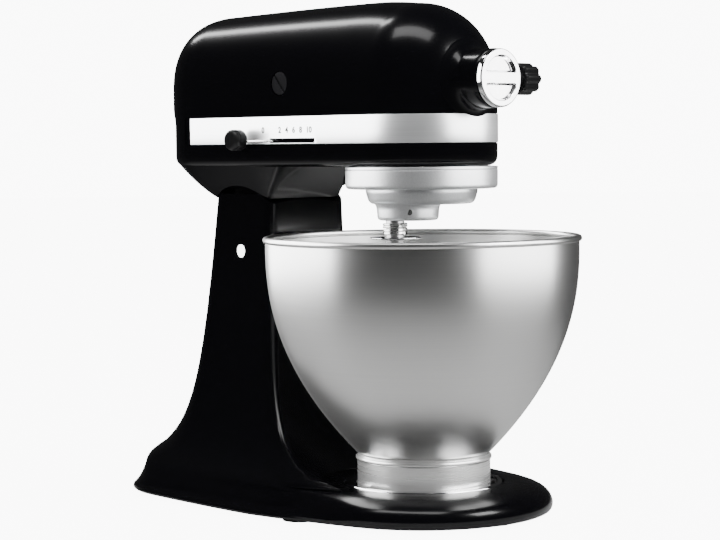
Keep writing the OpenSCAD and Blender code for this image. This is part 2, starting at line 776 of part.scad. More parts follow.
module agitator_shaft() {
    color("silver") difference() {
        union() {
            cyl_z(shaft_r, shaft_end_z + 1.2, cover_z0 - 1.2, bowl_x, -orbit);
            translate([bowl_x, -orbit, shaft_end_z]) cylinder(r1 = shaft_r - 1.2, r2 = shaft_r, h = 1.2);
        }
        // relief groove between the free end and the cross pin
        tube_z(shaft_r + 1, shaft_r - 0.5, shaft_end_z + free_end_l, shaft_end_z + free_end_l + 1.2, bowl_x, -orbit);
        translate([bowl_x, -orbit, beater_pin_z]) rotate([90, 0, 25]) translate([0, 0, -20]) cylinder(r = 2.4, h = 40);
    }
}

module agitator_pinion() {
    color("gray") translate([bowl_x, -orbit, ring_z0]) difference() {
        linear_extrude(6.4) gear_outline(pinion_teeth, ring_module, 0.42, 1, -90);
        translate([0, 0, -1]) cylinder(r = shaft_r, h = 20);
    }
}

module agitator_spring() {
    color("silver") for (k = [0:3]) translate([bowl_x, -orbit, boss_z0 - 1.6 - 2.6 * k])
        rotate_extrude($fn = 48) translate([shaft_r + 1.3, 0]) circle(0.9, $fn = 20);
}

module spring_washer() {
    color("silver") translate([bowl_x, -orbit, 192.4]) difference() {
        union() {
            cylinder(r = 17.5, h = 1);
            cylinder(r = 9, h = 1.6);
        }
        translate([0, 0, -1]) cylinder(r = shaft_r, h = 5);
    }
}

module beater_pin() {
    color("silver") translate([bowl_x, -orbit, beater_pin_z]) rotate([90, 0, 25])
        translate([0, 0, -11]) cylinder(r = 2.4, h = 22);
}

// ---------- controls ----------

module hub_cap() {
    color("silver") difference() {
        union() {
            cyl_x(hub_cap_r, hub_x + 0.5, hub_x + 4.5, 0, drive_z);
            cyl_x(hub_cap_r - 1.2, hub_x + 4, hub_x + 5.5, 0, drive_z);
            cyl_x(cap_seat_r - pass_gap, hub_x - cap_seat_l + pass_gap, hub_x + 1, 0, drive_z);
        }
        for (s = [0, 180]) translate([hub_x + 3.5, 0, drive_z]) rotate([s, 0, 0]) intersection() {
            cyl_x(hub_cap_r - 4, 0, 3, 0, 0);
            translate([-1, -30, 5]) cube([5, 60, 20]);
        }
    }
}

module hub_knob() {
    color([0.05, 0.05, 0.05]) union() {
        translate([bowl_x + 62, 30, drive_z]) rotate([-90, 0, 0]) difference() {
            cylinder(r = 11, h = 15);
            for (k = [0:7]) rotate(45 * k) translate([12.6, 0, -1]) cylinder(r = 2.6, h = 20);
        }
        cyl_y(6.5, hub_cap_r + 0.6, 31, bowl_x + 62, drive_z);
        cyl_y(3, hub_bore_r + 0.6, 31, bowl_x + 62, drive_z);
    }
}

// Places on the speed lever's arm, measured at rest with the lever at off
lever_rest = [lever_px, lever_py];
wall_point = [slot_x0 + 1.6, -head_r];
knob_point = [bowl_x - 125, -head_r - 8];

module flat_bar(p, q, w, h) {
    d = q - p;
    translate([p[0], p[1], 0]) rotate(atan2(d[1], d[0])) translate([0, -w / 2, 0]) cube([norm(d), w, h]);
}

module speed_lever() {
    bend = wall_point + [-1, -3];
    color("silver") translate([0, 0, lever_z - 0.8]) difference() {
        union() {
            translate([lever_px, lever_py, 0]) cylinder(r = 8, h = 1.6);
            flat_bar(lever_rest, bend, 2.4, 1.6);
            flat_bar(bend + [0.8, 0], knob_point, 2.4, 1.6);
        }
        translate([lever_px, lever_py, -1]) cylinder(r = 3 + run_gap, h = 5);
    }
}

module speed_knob() {
    color([0.05, 0.05, 0.05]) difference() {
        union() {
            cyl_y(7.6, knob_point[1] - 7, knob_point[1] + 3.4, knob_point[0], lever_z + 1);
            cyl_y(6, knob_point[1] - 8.4, knob_point[1] + 4.2, knob_point[0], lever_z + 1);
        }
        translate([0, 0, lever_z - 0.8]) flat_bar(wall_point + [-0.2, -3], knob_point, 2.4, 1.6);
    }
}

module lock_lever() {
    color([0.05, 0.05, 0.05]) union() {
        cyl_y(3, 9, column_w / 2 + 4.5, lock_x, lock_z);
        translate([lock_x - 2.5, 9, lock_z - 15]) cube([2.5, 12, 16]);
        translate([lock_x - 2.5, 9, lock_z - 19]) cube([5, 12, 4.2]);
        translate([lock_x, column_w / 2 + 0.7, lock_z]) rotate([0, -12, 0]) {
            translate([0, 0.3, -3.2]) cube([17, 3.4, 6.4]);
            translate([17, 4, 0]) rotate([90, 0, 0]) cylinder(r = 4.6, h = 4);
        }
        cyl_y(4.5, column_w / 2 + 0.7, column_w / 2 + 4.7, lock_x, lock_z);
    }
}

// ---------- bowl ----------

bowl_floor_z = 44;
function bowl_r(z) = bowl_d / 2 - 1.8 - (bowl_d / 2 - 1.8 - foot_r - 1)
    * pow(max(0, bowl_top_z - 10 - z) / (bowl_top_z - 10 - bowl_floor_z), 2.2);
bowl_levels = [for (i = [0:15]) bowl_floor_z + (bowl_top_z - 4 - bowl_floor_z) * i / 15];

module bowl() {
    rim = 2.2;
    color("silver") translate([bowl_x, 0, 0]) union() {
        rotate_extrude($fn = 96) polygon(concat([[0, bowl_floor_z - 1], [bowl_r(bowl_floor_z) - 3, bowl_floor_z - 1]],
            [for (z = bowl_levels) [bowl_r(z), z]],
            [for (i = [15:-1:0]) [bowl_r(bowl_levels[i]) - bowl_wall, bowl_levels[i] + (i == 0 ? bowl_wall : 0)]],
            [[bowl_r(bowl_floor_z) - 5, bowl_floor_z + bowl_wall - 1], [0, bowl_floor_z + bowl_wall - 1]]));
        rotate_extrude($fn = 96) translate([bowl_d / 2 - rim, bowl_top_z - rim - 1]) circle(rim, $fn = 24);
    }
}

module bowl_foot() {
    color("silver") translate([bowl_x, 0, 0]) union() {
        rotate_extrude($fn = 96) polygon([[foot_r - 2, foot_z], [foot_r, foot_z], [foot_r, bowl_floor_z - 5],
            [foot_r + 1.2, bowl_floor_z - 4], [foot_r + 1, bowl_floor_z - 1], [foot_r - 2, bowl_floor_z - 1]]);
        for (k = [0:2]) rotate(120 * k + 90) lug_sector();
    }
}

// One bayonet lug of the bowl's foot, 36 degrees wide
module lug_sector() {
    difference() {
        translate([0, 0, foot_z]) cylinder(r = foot_r + lug_out, h = lug_h);
        translate([0, 0, foot_z - 1]) cylinder(r = foot_r - 1, h = lug_h + 2);
        for (s = [0, 1]) mirror([0, s, 0]) rotate(18) translate([-80, 0, 0]) cube([160, 80, 60]);
        translate([-80, -80, 0]) cube([80, 160, 60]);
    }
}

base();
column();
column_screws();
bowl_clamp_plate();
clamp_plate_screws();
rubber_feet();
hinge_pin();
hinge_set_screw();
neck_adjusting_screw();
upper_housing();
lower_housing();
end_cover();
end_cover_screw();
trim_band();
trim_band_screws();
hub_sleeve();
ring_gear();
drip_ring();
gearcase_cover();
gearcase_screws();
motor_field();
motor_bracket_front();
motor_bracket_rear();
brush_holders();
brushes();
brush_springs();
brush_caps();
control_plate();
control_screws();
cord_bushing();
armature();
commutator();
motor_shaft();
cooling_fan();
governor();
worm_wheel();
wheel_shaft();
centre_gear();
centre_shaft();
centre_bevel_gear();
planetary_housing();
planetary_pin();
agitator_shaft();
agitator_pinion();
agitator_spring();
spring_washer();
beater_pin();
hub_bevel_gear();
hub_drive_shaft();
hub_cap();
hub_knob();
speed_lever();
speed_knob();
lock_lever();
bowl();
bowl_foot();
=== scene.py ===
"""Looks of a tilt-head stand mixer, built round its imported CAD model.

Every shape is worked out in millimetres in the row frame (+X to the hub, -Y on the speed lever's side, +Z up)
and written to its mesh in metres, so each finished object sits at the origin.
"""

from __future__ import annotations

import json
import logging
import math
from dataclasses import dataclass, field
from enum import Enum
from typing import Iterable, Sequence

import bmesh
import bpy
import numpy as np
from mathutils import Matrix, Vector

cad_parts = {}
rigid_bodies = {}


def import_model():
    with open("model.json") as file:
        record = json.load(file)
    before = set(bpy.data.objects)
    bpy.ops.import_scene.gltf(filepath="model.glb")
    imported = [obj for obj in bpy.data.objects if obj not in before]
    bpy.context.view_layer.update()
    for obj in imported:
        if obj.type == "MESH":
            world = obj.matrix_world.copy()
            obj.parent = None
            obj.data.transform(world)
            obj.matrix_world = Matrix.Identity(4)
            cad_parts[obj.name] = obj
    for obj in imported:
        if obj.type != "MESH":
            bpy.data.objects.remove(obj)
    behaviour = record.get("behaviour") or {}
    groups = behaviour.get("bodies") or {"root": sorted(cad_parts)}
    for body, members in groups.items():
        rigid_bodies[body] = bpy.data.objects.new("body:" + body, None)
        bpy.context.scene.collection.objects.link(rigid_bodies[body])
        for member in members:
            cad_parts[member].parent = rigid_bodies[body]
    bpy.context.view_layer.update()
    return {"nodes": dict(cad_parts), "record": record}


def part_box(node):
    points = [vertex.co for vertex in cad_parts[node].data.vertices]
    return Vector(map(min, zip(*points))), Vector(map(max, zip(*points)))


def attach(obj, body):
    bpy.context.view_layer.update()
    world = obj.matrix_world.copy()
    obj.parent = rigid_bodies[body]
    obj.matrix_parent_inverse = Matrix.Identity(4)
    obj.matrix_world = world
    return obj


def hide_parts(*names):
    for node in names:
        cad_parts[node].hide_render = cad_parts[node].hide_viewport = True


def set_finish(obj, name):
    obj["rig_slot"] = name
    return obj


LOG = logging.getLogger("stand_mixer")
MM = 0.001
SMOOTH_ANGLE = math.radians(34)
Array = np.ndarray
Vec3 = tuple[float, float, float]
Pairs = tuple[tuple[float, float], ...]


class Slot(Enum):
    """Finish of a piece, by the record's material slot."""

    ENAMEL = "enamel"
    BOWL_STEEL = "bowl_steel"
    FOOT_STEEL = "foot_steel"
    CHROME = "chrome"
    TRIM = "trim"
    CAST = "cast_aluminium"
    GEAR = "gear_steel"
    BRONZE = "bronze"
    COPPER = "copper"
    LAMINATION = "lamination"
    SCREW = "screw_steel"
    BLACK_PLASTIC = "black_plastic"
    CAP_PLASTIC = "cap_plastic"
    RUBBER = "rubber"
    BAKELITE = "bakelite"
    CARBON = "carbon"


# ---------- shader node groups and finishes ----------


class GroupBuilder:
    """Makes one shader node group with named inputs and outputs."""

    def __init__(self, name: str, inputs: dict[str, float], outputs: dict[str, str]) -> None:
        """Starts the group.

        Args:
            name: the group's name.
            inputs: float inputs and their defaults.
            outputs: output names and their socket types.
        """
        self.tree = bpy.data.node_groups.new(name, "ShaderNodeTree")
        for key, value in inputs.items():
            socket = self.tree.interface.new_socket(key, in_out="INPUT", socket_type="NodeSocketFloat")
            socket.default_value = value
        for key, kind in outputs.items():
            self.tree.interface.new_socket(key, in_out="OUTPUT", socket_type=kind)
        self.given = self.add("NodeGroupInput")
        self.result = self.add("NodeGroupOutput")

    def add(self, kind: str, **values: object) -> bpy.types.Node:
        """Adds a node and sets its properties."""
        node = self.tree.nodes.new(kind)
        for key, value in values.items():
            setattr(node, key, value)
        return node

    def link(self, source: bpy.types.NodeSocket, target: bpy.types.NodeSocket) -> None:
        """Joins two sockets."""
        self.tree.links.new(source, target)

    def math(self, operation: str, a: object, b: object = 0.0) -> bpy.types.NodeSocket:
        """Adds a Math node; a and b are sockets or numbers. Returns its output socket."""
        node = self.add("ShaderNodeMath", operation=operation)
        for socket, value in zip(node.inputs, (a, b)):
            if isinstance(value, bpy.types.NodeSocket):
                self.link(value, socket)
            else:
                socket.default_value = value
        return node.outputs[0]


def fine_texture_group() -> bpy.types.NodeTree:
    """Group of two noises on Object coordinates: a fine grain for bump and a broad cloud for roughness.

    Returns:
        The node tree, with inputs Scale, Detail, Base and Spread, and outputs Height and Rough.
    """
    g = GroupBuilder("fine_texture", {"Scale": 400.0, "Cloud": 18.0, "Base": 0.3, "Spread": 0.1},
                     {"Height": "NodeSocketFloat", "Rough": "NodeSocketFloat"})
    coords = g.add("ShaderNodeTexCoord")
    grain = g.add("ShaderNodeTexNoise")
    grain.inputs["Detail"].default_value = 3.0
    cloud = g.add("ShaderNodeTexNoise")
    cloud.inputs["Detail"].default_value = 4.0
    for node, key in ((grain, "Scale"), (cloud, "Cloud")):
        g.link(coords.outputs["Object"], node.inputs["Vector"])
        g.link(g.given.outputs[key], node.inputs["Scale"])
    centred = g.math("SUBTRACT", cloud.outputs["Fac"], 0.5)
    spread = g.math("MULTIPLY", centred, g.given.outputs["Spread"])
    g.link(g.math("ADD", spread, g.given.outputs["Base"]), g.result.inputs["Rough"])
    g.link(grain.outputs["Fac"], g.result.inputs["Height"])
    return g.tree


def brushed_group() -> bpy.types.NodeTree:
    """Group of long scratches: a noise on Object coordinates stretched by a per-axis scale.

    Returns:
        The node tree, with inputs ScaleX, ScaleY, ScaleZ, Base and Spread, and outputs Height, Rough and Tone.
    """
    g = GroupBuilder("brushed_lines", {"ScaleX": 4.0, "ScaleY": 4.0, "ScaleZ": 900.0, "Base": 0.3, "Spread": 0.15},
                     {"Height": "NodeSocketFloat", "Rough": "NodeSocketFloat", "Tone": "NodeSocketFloat"})
    coords = g.add("ShaderNodeTexCoord")
    scale = g.add("ShaderNodeCombineXYZ")
    for axis in "XYZ":
        g.link(g.given.outputs["Scale" + axis], scale.inputs[axis])
    stretch = g.add("ShaderNodeVectorMath", operation="MULTIPLY")
    g.link(coords.outputs["Object"], stretch.inputs[0])
    g.link(scale.outputs[0], stretch.inputs[1])
    lines = g.add("ShaderNodeTexNoise")
    lines.inputs["Scale"].default_value = 1.0
    lines.inputs["Detail"].default_value = 5.0
    lines.inputs["Roughness"].default_value = 0.7
    g.link(stretch.outputs[0], lines.inputs["Vector"])
    cloud = g.add("ShaderNodeTexNoise")
    cloud.inputs["Scale"].default_value = 9.0
    g.link(coords.outputs["Object"], cloud.inputs["Vector"])
    centred = g.math("SUBTRACT", g.math("ADD", lines.outputs["Fac"], cloud.outputs["Fac"]), 1.0)
    spread = g.math("MULTIPLY", centred, g.given.outputs["Spread"])
    g.link(g.math("ADD", spread, g.given.outputs["Base"]), g.result.inputs["Rough"])
    g.link(lines.outputs["Fac"], g.result.inputs["Height"])
    g.link(lines.outputs["Fac"], g.result.inputs["Tone"])
    return g.tree


def wear_group() -> bpy.types.NodeTree:
    """Group that finds convex edges with Pointiness and breaks them up with noise.

    Returns:
        The node tree, with inputs Low, High and Amount, and an output Mask from 0 to Amount.
    """
    g = GroupBuilder("edge_wear", {"Low": 0.52, "High": 0.62, "Amount": 0.5}, {"Mask": "NodeSocketFloat"})
    geometry = g.add("ShaderNodeNewGeometry")
    coords = g.add("ShaderNodeTexCoord")
    noise = g.add("ShaderNodeTexNoise")
    noise.inputs["Scale"].default_value = 160.0
    g.link(coords.outputs["Object"], noise.inputs["Vector"])
    remap = g.add("ShaderNodeMapRange")
    g.link(geometry.outputs["Pointiness"], remap.inputs["Value"])
    g.link(g.given.outputs["Low"], remap.inputs["From Min"])
    g.link(g.given.outputs["High"], remap.inputs["From Max"])
    broken = g.math("MULTIPLY", remap.outputs[0], noise.outputs["Fac"])
    g.link(g.math("MULTIPLY", broken, g.given.outputs["Amount"]), g.result.inputs["Mask"])
    return g.tree


@dataclass(frozen=True)
class Finish:
    """A plain finish with fine grain: enamel, plastic, rubber, carbon or cast metal."""

    color: Vec3
    roughness: float
    metallic: float = 0.0
    spread: float = 0.06
    grain: float = 500.0
    bump: float = 0.02
    bump_mm: float = 0.1
    coat: float = 0.0
    coat_roughness: float = 0.03
    specular: float = 0.5
    worn: Vec3 | None = None
    wear: float = 0.0
    contrast: float = 1.0

    def texture(self, tree: bpy.types.NodeTree) -> bpy.types.Node:
        """Places this finish's texture group and sets its inputs. Returns the group node."""
        node = tree.nodes.new("ShaderNodeGroup")
        node.node_tree = bpy.data.node_groups["fine_texture"]
        node.inputs["Scale"].default_value = self.grain
        node.inputs["Base"].default_value = self.roughness
        node.inputs["Spread"].default_value = self.spread
        return node

    def tint(self, tree: bpy.types.NodeTree, texture: bpy.types.Node) -> bpy.types.NodeSocket:
        """Mixes the finish's colour with its darker and worn tones. Returns a colour socket."""
        mix = tree.nodes.new("ShaderNodeMix")
        mix.data_type = "RGBA"
        low, high = 1 - 0.18 * self.contrast, 1 + 0.12 * self.contrast
        mix.inputs["A"].default_value = (*[low * c for c in self.color], 1)
        mix.inputs["B"].default_value = (*[min(1.0, high * c) for c in self.color], 1)
        source = texture.outputs["Tone"] if "Tone" in texture.outputs else texture.outputs["Height"]
        tree.links.new(source, mix.inputs["Factor"])
        if self.worn is None:
            return mix.outputs["Result"]
        wear = tree.nodes.new("ShaderNodeGroup")
        wear.node_tree = bpy.data.node_groups["edge_wear"]
        wear.inputs["Amount"].default_value = self.wear
        over = tree.nodes.new("ShaderNodeMix")
        over.data_type = "RGBA"
        tree.links.new(wear.outputs["Mask"], over.inputs["Factor"])
        tree.links.new(mix.outputs["Result"], over.inputs["A"])
        over.inputs["B"].default_value = (*self.worn, 1)
        return over.outputs["Result"]

    def material(self, name: str) -> bpy.types.Material:
        """Builds the material.

        Args:
            name: the material's name.

        Returns:
            The new material.
        """
        mat = bpy.data.materials.new(name)
        mat.use_nodes = True
        tree = mat.node_tree
        shader = tree.nodes["Principled BSDF"]
        texture = self.texture(tree)
        tree.links.new(self.tint(tree, texture), shader.inputs["Base Color"])
        tree.links.new(texture.outputs["Rough"], shader.inputs["Roughness"])
        bump = tree.nodes.new("ShaderNodeBump")
        bump.inputs["Strength"].default_value = self.bump
        bump.inputs["Distance"].default_value = self.bump_mm * MM
        tree.links.new(texture.outputs["Height"], bump.inputs["Height"])
        tree.links.new(bump.outputs["Normal"], shader.inputs["Normal"])
        shader.inputs["Metallic"].default_value = self.metallic
        shader.inputs["Coat Weight"].default_value = self.coat
        shader.inputs["Coat Roughness"].default_value = self.coat_roughness
        shader.inputs["Specular IOR Level"].default_value = self.specular
        return mat


@dataclass(frozen=True)
class BrushedFinish(Finish):
    """A metal brushed in one direction: the scratches are long where an axis's line scale is low."""

    lines: Vec3 = (4.0, 4.0, 900.0)
    stretch: float = 0.0

    def material(self, name: str) -> bpy.types.Material:
        """Builds the material, with highlights drawn out along Z on a piece turned about Z. Returns the material."""
        mat = super().material(name)
        if self.stretch > 0:
            tree = mat.node_tree
            tangent = tree.nodes.new("ShaderNodeTangent")
            tangent.direction_type, tangent.axis = "RADIAL", "Z"
            shader = tree.nodes["Principled BSDF"]
            tree.links.new(tangent.outputs["Tangent"], shader.inputs["Tangent"])
            shader.inputs["Anisotropic"].default_value = self.stretch
            shader.inputs["Anisotropic Rotation"].default_value = 0.25
        return mat

    def texture(self, tree: bpy.types.NodeTree) -> bpy.types.Node:
        """Places the brushed group and sets its inputs. Returns the group node."""
        node = tree.nodes.new("ShaderNodeGroup")
        node.node_tree = bpy.data.node_groups["brushed_lines"]
        for axis, value in zip("XYZ", self.lines):
            node.inputs["Scale" + axis].default_value = value
        node.inputs["Base"].default_value = self.roughness
        node.inputs["Spread"].default_value = self.spread
        return node


FINISHES: dict[Slot, Finish] = {
    Slot.ENAMEL: Finish((0.0022, 0.0022, 0.0034), 0.2, spread=0.04, grain=260.0, bump=0.04, bump_mm=0.05,
                        coat=0.15, coat_roughness=0.08, specular=0.3),
    Slot.BOWL_STEEL: BrushedFinish((0.68, 0.68, 0.675), 0.3, metallic=1.0, spread=0.06, bump=0.1, bump_mm=0.012,
                                   lines=(5.0, 5.0, 1500.0), stretch=0.5, contrast=0.4),
    Slot.FOOT_STEEL: BrushedFinish((0.66, 0.66, 0.655), 0.27, metallic=0.88, spread=0.1, bump=0.08, bump_mm=0.02,
                                   lines=(8.0, 8.0, 900.0)),
    Slot.CHROME: Finish((0.82, 0.82, 0.83), 0.07, metallic=1.0, spread=0.03, grain=300.0, bump=0.02, bump_mm=0.02),
    Slot.TRIM: BrushedFinish((0.86, 0.87, 0.88), 0.32, metallic=0.85, spread=0.1, bump=0.08, bump_mm=0.02,
                             lines=(12.0, 12.0, 1500.0)),
    Slot.CAST: Finish((0.66, 0.67, 0.68), 0.38, metallic=0.9, spread=0.12, grain=900.0, bump=0.18, bump_mm=0.05),
    Slot.GEAR: Finish((0.42, 0.42, 0.42), 0.3, metallic=1.0, spread=0.15, grain=700.0, bump=0.1, bump_mm=0.03),
    Slot.BRONZE: Finish((0.58, 0.4, 0.17), 0.32, metallic=1.0, spread=0.15, grain=600.0, bump=0.1, bump_mm=0.03),
    Slot.COPPER: Finish((0.62, 0.27, 0.12), 0.35, metallic=1.0, spread=0.1, grain=900.0, bump=0.3, bump_mm=0.1),
    Slot.LAMINATION: BrushedFinish((0.2, 0.2, 0.21), 0.45, metallic=0.9, spread=0.2, bump=0.4, bump_mm=0.1,
                                   lines=(1400.0, 10.0, 10.0)),
    Slot.SCREW: Finish((0.66, 0.66, 0.65), 0.22, metallic=1.0, spread=0.12, grain=800.0, bump=0.08, bump_mm=0.03),
    Slot.BLACK_PLASTIC: Finish((0.012, 0.012, 0.013), 0.36, spread=0.1, grain=1100.0, bump=0.12, bump_mm=0.05,
                               worn=(0.05, 0.05, 0.05), wear=0.4),
    Slot.CAP_PLASTIC: Finish((0.02, 0.02, 0.023), 0.42, spread=0.1, grain=1100.0, bump=0.15, bump_mm=0.05,
                             worn=(0.08, 0.08, 0.08), wear=0.5),
    Slot.RUBBER: Finish((0.02, 0.02, 0.02), 0.75, spread=0.1, grain=1300.0, bump=0.3, bump_mm=0.1),
    Slot.BAKELITE: Finish((0.13, 0.06, 0.03), 0.45, spread=0.15, grain=300.0, bump=0.2, bump_mm=0.1),
    Slot.CARBON: Finish((0.03, 0.03, 0.032), 0.6, spread=0.1, grain=1500.0, bump=0.3, bump_mm=0.05),
}


def make_materials() -> dict[Slot, bpy.types.Material]:
    """Builds the three node groups and one material for each slot.

    Returns:
        Materials by slot.
    """
    fine_texture_group()
    brushed_group()
    wear_group()
    return {slot: finish.material("finish_" + slot.value) for slot, finish in FINISHES.items()}


# ---------- mesh tools ----------


def grid_faces(rows: int, cols: int, closed: bool) -> Array:
    """Quads of a grid of points, row by row.

    Args:
        rows: number of rows.
        cols: number of points in a row.
        closed: True if each row is a loop.

    Returns:
        An array of vertex numbers, four to a face.
    """
    r, c = np.meshgrid(np.arange(rows - 1), np.arange(cols if closed else cols - 1), indexing="ij")
    nxt = (c + 1) % cols
    return np.stack([r * cols + c, r * cols + nxt, (r + 1) * cols + nxt, (r + 1) * cols + c], -1).reshape(-1, 4)


def add_mesh(name: str, parts: Sequence[tuple[Array, Iterable]], weld_mm: float = 0.005) -> bpy.types.Object:
    """Makes one object from lists of points in millimetres and their faces.

    Args:
        name: the object's name.
        parts: pairs of points, shaped (n, 3), and faces.
        weld_mm: distance at which points are merged, which closes seams and poles.

    Returns:
        The linked object, with its normals pointing outwards.
    """
    points: list[Array] = []
    faces: list[list[int]] = []
    start = 0
    for pts, fcs in parts:
        pts = np.asarray(pts, float).reshape(-1, 3)
        faces.extend([[int(i) + start for i in f] for f in fcs])
        points.append(pts * MM)
        start += len(pts)
    mesh = bpy.data.meshes.new(name)
    mesh.from_pydata(np.concatenate(points).tolist(), [], faces)
    bm = bmesh.new()
    bm.from_mesh(mesh)
    bmesh.ops.remove_doubles(bm, verts=bm.verts, dist=weld_mm * MM)
    bmesh.ops.dissolve_degenerate(bm, edges=bm.edges, dist=1e-7)
    bmesh.ops.recalc_face_normals(bm, faces=bm.faces)
    bm.to_mesh(mesh)
    bm.free()
    obj = bpy.data.objects.new(name, mesh)
    bpy.context.scene.collection.objects.link(obj)
    return obj


def revolved(profile: Sequence[tuple[float, float]], centre: Vec3 = (0, 0, 0), axis: str = "Z",
             segments: int = 96, sweep: tuple[float, float] | None = None) -> tuple[Array, Array]:
    """Turns a profile about an axis: point = centre + r (cos a, sin a) across the axis + h along it.

    Args:
        profile: (r, h) pairs in millimetres.
        centre: a point on the axis.
        axis: X, Y or Z.
        segments: steps round the axis.
        sweep: first and last angle in degrees, or None for a full turn.

    Returns:
        Points and faces.
    """
    prof = np.asarray(profile, float)
    full = sweep is None
    ang = (np.linspace(0, 2 * np.pi, segments, endpoint=False) if full
           else np.radians(np.linspace(sweep[0], sweep[1], segments)))
    r, h = prof[:, 0][:, None], prof[:, 1][:, None] + 0 * ang[None]
    a, b = r * np.cos(ang)[None], r * np.sin(ang)[None]
    order = {"Z": (a, b, h), "X": (h, a, b), "Y": (b, h, a)}[axis]
    pts = np.stack(order, -1) + np.asarray(centre, float)
    return pts.reshape(-1, 3), grid_faces(len(prof), len(ang), full)


def round_profile(corners: Sequence[Vec3], steps: int = 5) -> list[tuple[float, float]]:
    """Rounds the corners of an open or closed outline with quadratic arcs.

    Args:
        corners: (r, h, radius) for each corner, in order.
        steps: points on each rounded corner.

    Returns:
        The outline as (r, h) pairs.
    """
    pts = np.array([c[:2] for c in corners], float)
    out: list[tuple[float, float]] = []
    for i, (x, y, rad) in enumerate(corners):
        here = np.array([x, y])
        if rad <= 0 or i in (0, len(corners) - 1):
            out.append((x, y))
            continue
        to_a, to_b = pts[i - 1] - here, pts[i + 1] - here
        cut_a = here + to_a / np.linalg.norm(to_a) * min(rad, 0.49 * np.linalg.norm(to_a))
        cut_b = here + to_b / np.linalg.norm(to_b) * min(rad, 0.49 * np.linalg.norm(to_b))
        for t in np.linspace(0, 1, steps):
            p = (1 - t) ** 2 * cut_a + 2 * t * (1 - t) * here + t * t * cut_b
            out.append((float(p[0]), float(p[1])))
    return out


def closed_profile(corners: Sequence[Vec3], steps: int = 5) -> list[tuple[float, float]]:
    """A closed outline with rounded corners, which starts and ends at the same point on its last side."""
    first = np.array(corners[0][:2]) * 0.5 + np.array(corners[-1][:2]) * 0.5
    ring = [(first[0], first[1], 0.0), *corners, (first[0], first[1], 0.0)]
    return round_profile(ring, steps)


def prism(outline: Array, low: float, high: float, axis: str) -> tuple[Array, list[list[int]]]:
    """A flat outline carried along an axis, with both ends closed.

    Args:
        outline: (n, 2) points; X and Z for axis Y, X and Y for axis Z, Y and Z for axis X.
        low: where it starts along the axis.
        high: where it ends.
        axis: X, Y or Z.

    Returns:
        Points and faces.
    """
    flat = np.asarray(outline, float)
    n = len(flat)
    ends = []
    for h in (low, high):
        fill = np.full(n, h)
        ends.append({"X": np.stack([fill, flat[:, 0], flat[:, 1]], -1),
                     "Y": np.stack([flat[:, 0], fill, flat[:, 1]], -1),
                     "Z": np.stack([flat[:, 0], flat[:, 1], fill], -1)}[axis])
    sides = grid_faces(2, n, True).tolist()
    return np.concatenate(ends), sides + [list(range(n))[::-1], list(range(n, 2 * n))]


def disc_outline(x: float, y: float, r: float, count: int = 48) -> Array:
    """Points of a circle about (x, y)."""
    a = np.linspace(0, 2 * np.pi, count, endpoint=False)
    return np.stack([x + r * np.cos(a), y + r * np.sin(a)], -1)


def rectangle(left: float, right: float, low: float, high: float) -> Array:
    """Corners of a rectangle, counter-clockwise from its lower left."""
    return np.array([[left, low], [right, low], [right, high], [left, high]])


def smooth_step(t: Array | float) -> Array:
    """The cubic 3t^2 - 2t^3, held at 0 and 1 outside its range."""
    t = np.clip(t, 0, 1)
    return t * t * (3 - 2 * t)


def keep_side(obj: bpy.types.Object, point: Vec3, normal: Vec3) -> None:
    """Cuts an object with a plane and keeps the side that the normal points to.

    Args:
        obj: the object.
        point: a point on the plane, in millimetres.
        normal: the plane's normal.
    """
    bm = bmesh.new()
    bm.from_mesh(obj.data)
    geometry = bm.verts[:] + bm.edges[:] + bm.faces[:]
    bmesh.ops.bisect_plane(bm, geom=geometry, dist=1e-7, plane_co=Vector(point) * MM, plane_no=Vector(normal),
                           clear_inner=True)
    bm.to_mesh(obj.data)
    bm.free()


def duplicate(obj: bpy.types.Object, name: str) -> bpy.types.Object:
    """A linked copy of an object with its own mesh."""
    copy = bpy.data.objects.new(name, obj.data.copy())
    bpy.context.scene.collection.objects.link(copy)
    return copy


def apply_modifiers(obj: bpy.types.Object) -> None:
    """Replaces an object's mesh with the one that its modifiers give."""
    graph = bpy.context.evaluated_depsgraph_get()
    mesh = bpy.data.meshes.new_from_object(obj.evaluated_get(graph))
    obj.modifiers.clear()
    old = obj.data
    obj.data = mesh
    bpy.data.meshes.remove(old)


def thicken(obj: bpy.types.Object, wall_mm: float) -> None:
    """Gives an open shell a wall on its inner side."""
    mod = obj.modifiers.new("wall", "SOLIDIFY")
    mod.thickness = wall_mm * MM
    mod.offset = -1
    mod.use_even_offset = True
    apply_modifiers(obj)


def carve(obj: bpy.types.Object, cutters: Sequence[tuple[Array, Iterable]]) -> None:
    """Takes closed shapes out of an object.

    Args:
        obj: a closed object.
        cutters: points and faces of each closed shape.
    """
    for k, cutter in enumerate(cutters):
        tool = add_mesh(f"cutter_{k}", [cutter])
        mod = obj.modifiers.new("cut", "BOOLEAN")
        mod.operation = "DIFFERENCE"
        mod.solver = "EXACT"
        mod.object = tool
        apply_modifiers(obj)
        data = tool.data
        bpy.data.objects.remove(tool)
        bpy.data.meshes.remove(data)


def soften(obj: bpy.types.Object, width_mm: float, angle: float = 40.0) -> None:
    """Rounds the sharp edges of an object by a small bevel."""
    mod = obj.modifiers.new("round", "BEVEL")
    mod.width = width_mm * MM
    mod.segments = 2
    mod.limit_method = "ANGLE"
    mod.angle_limit = math.radians(angle)
    mod.harden_normals = False
    apply_modifiers(obj)


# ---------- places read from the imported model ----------


def node_box(node: str) -> tuple[Array, Array]:
    """Lowest and highest corners of a CAD node, in millimetres."""
    low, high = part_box(node)
    return np.array(low[:]) / MM, np.array(high[:]) / MM


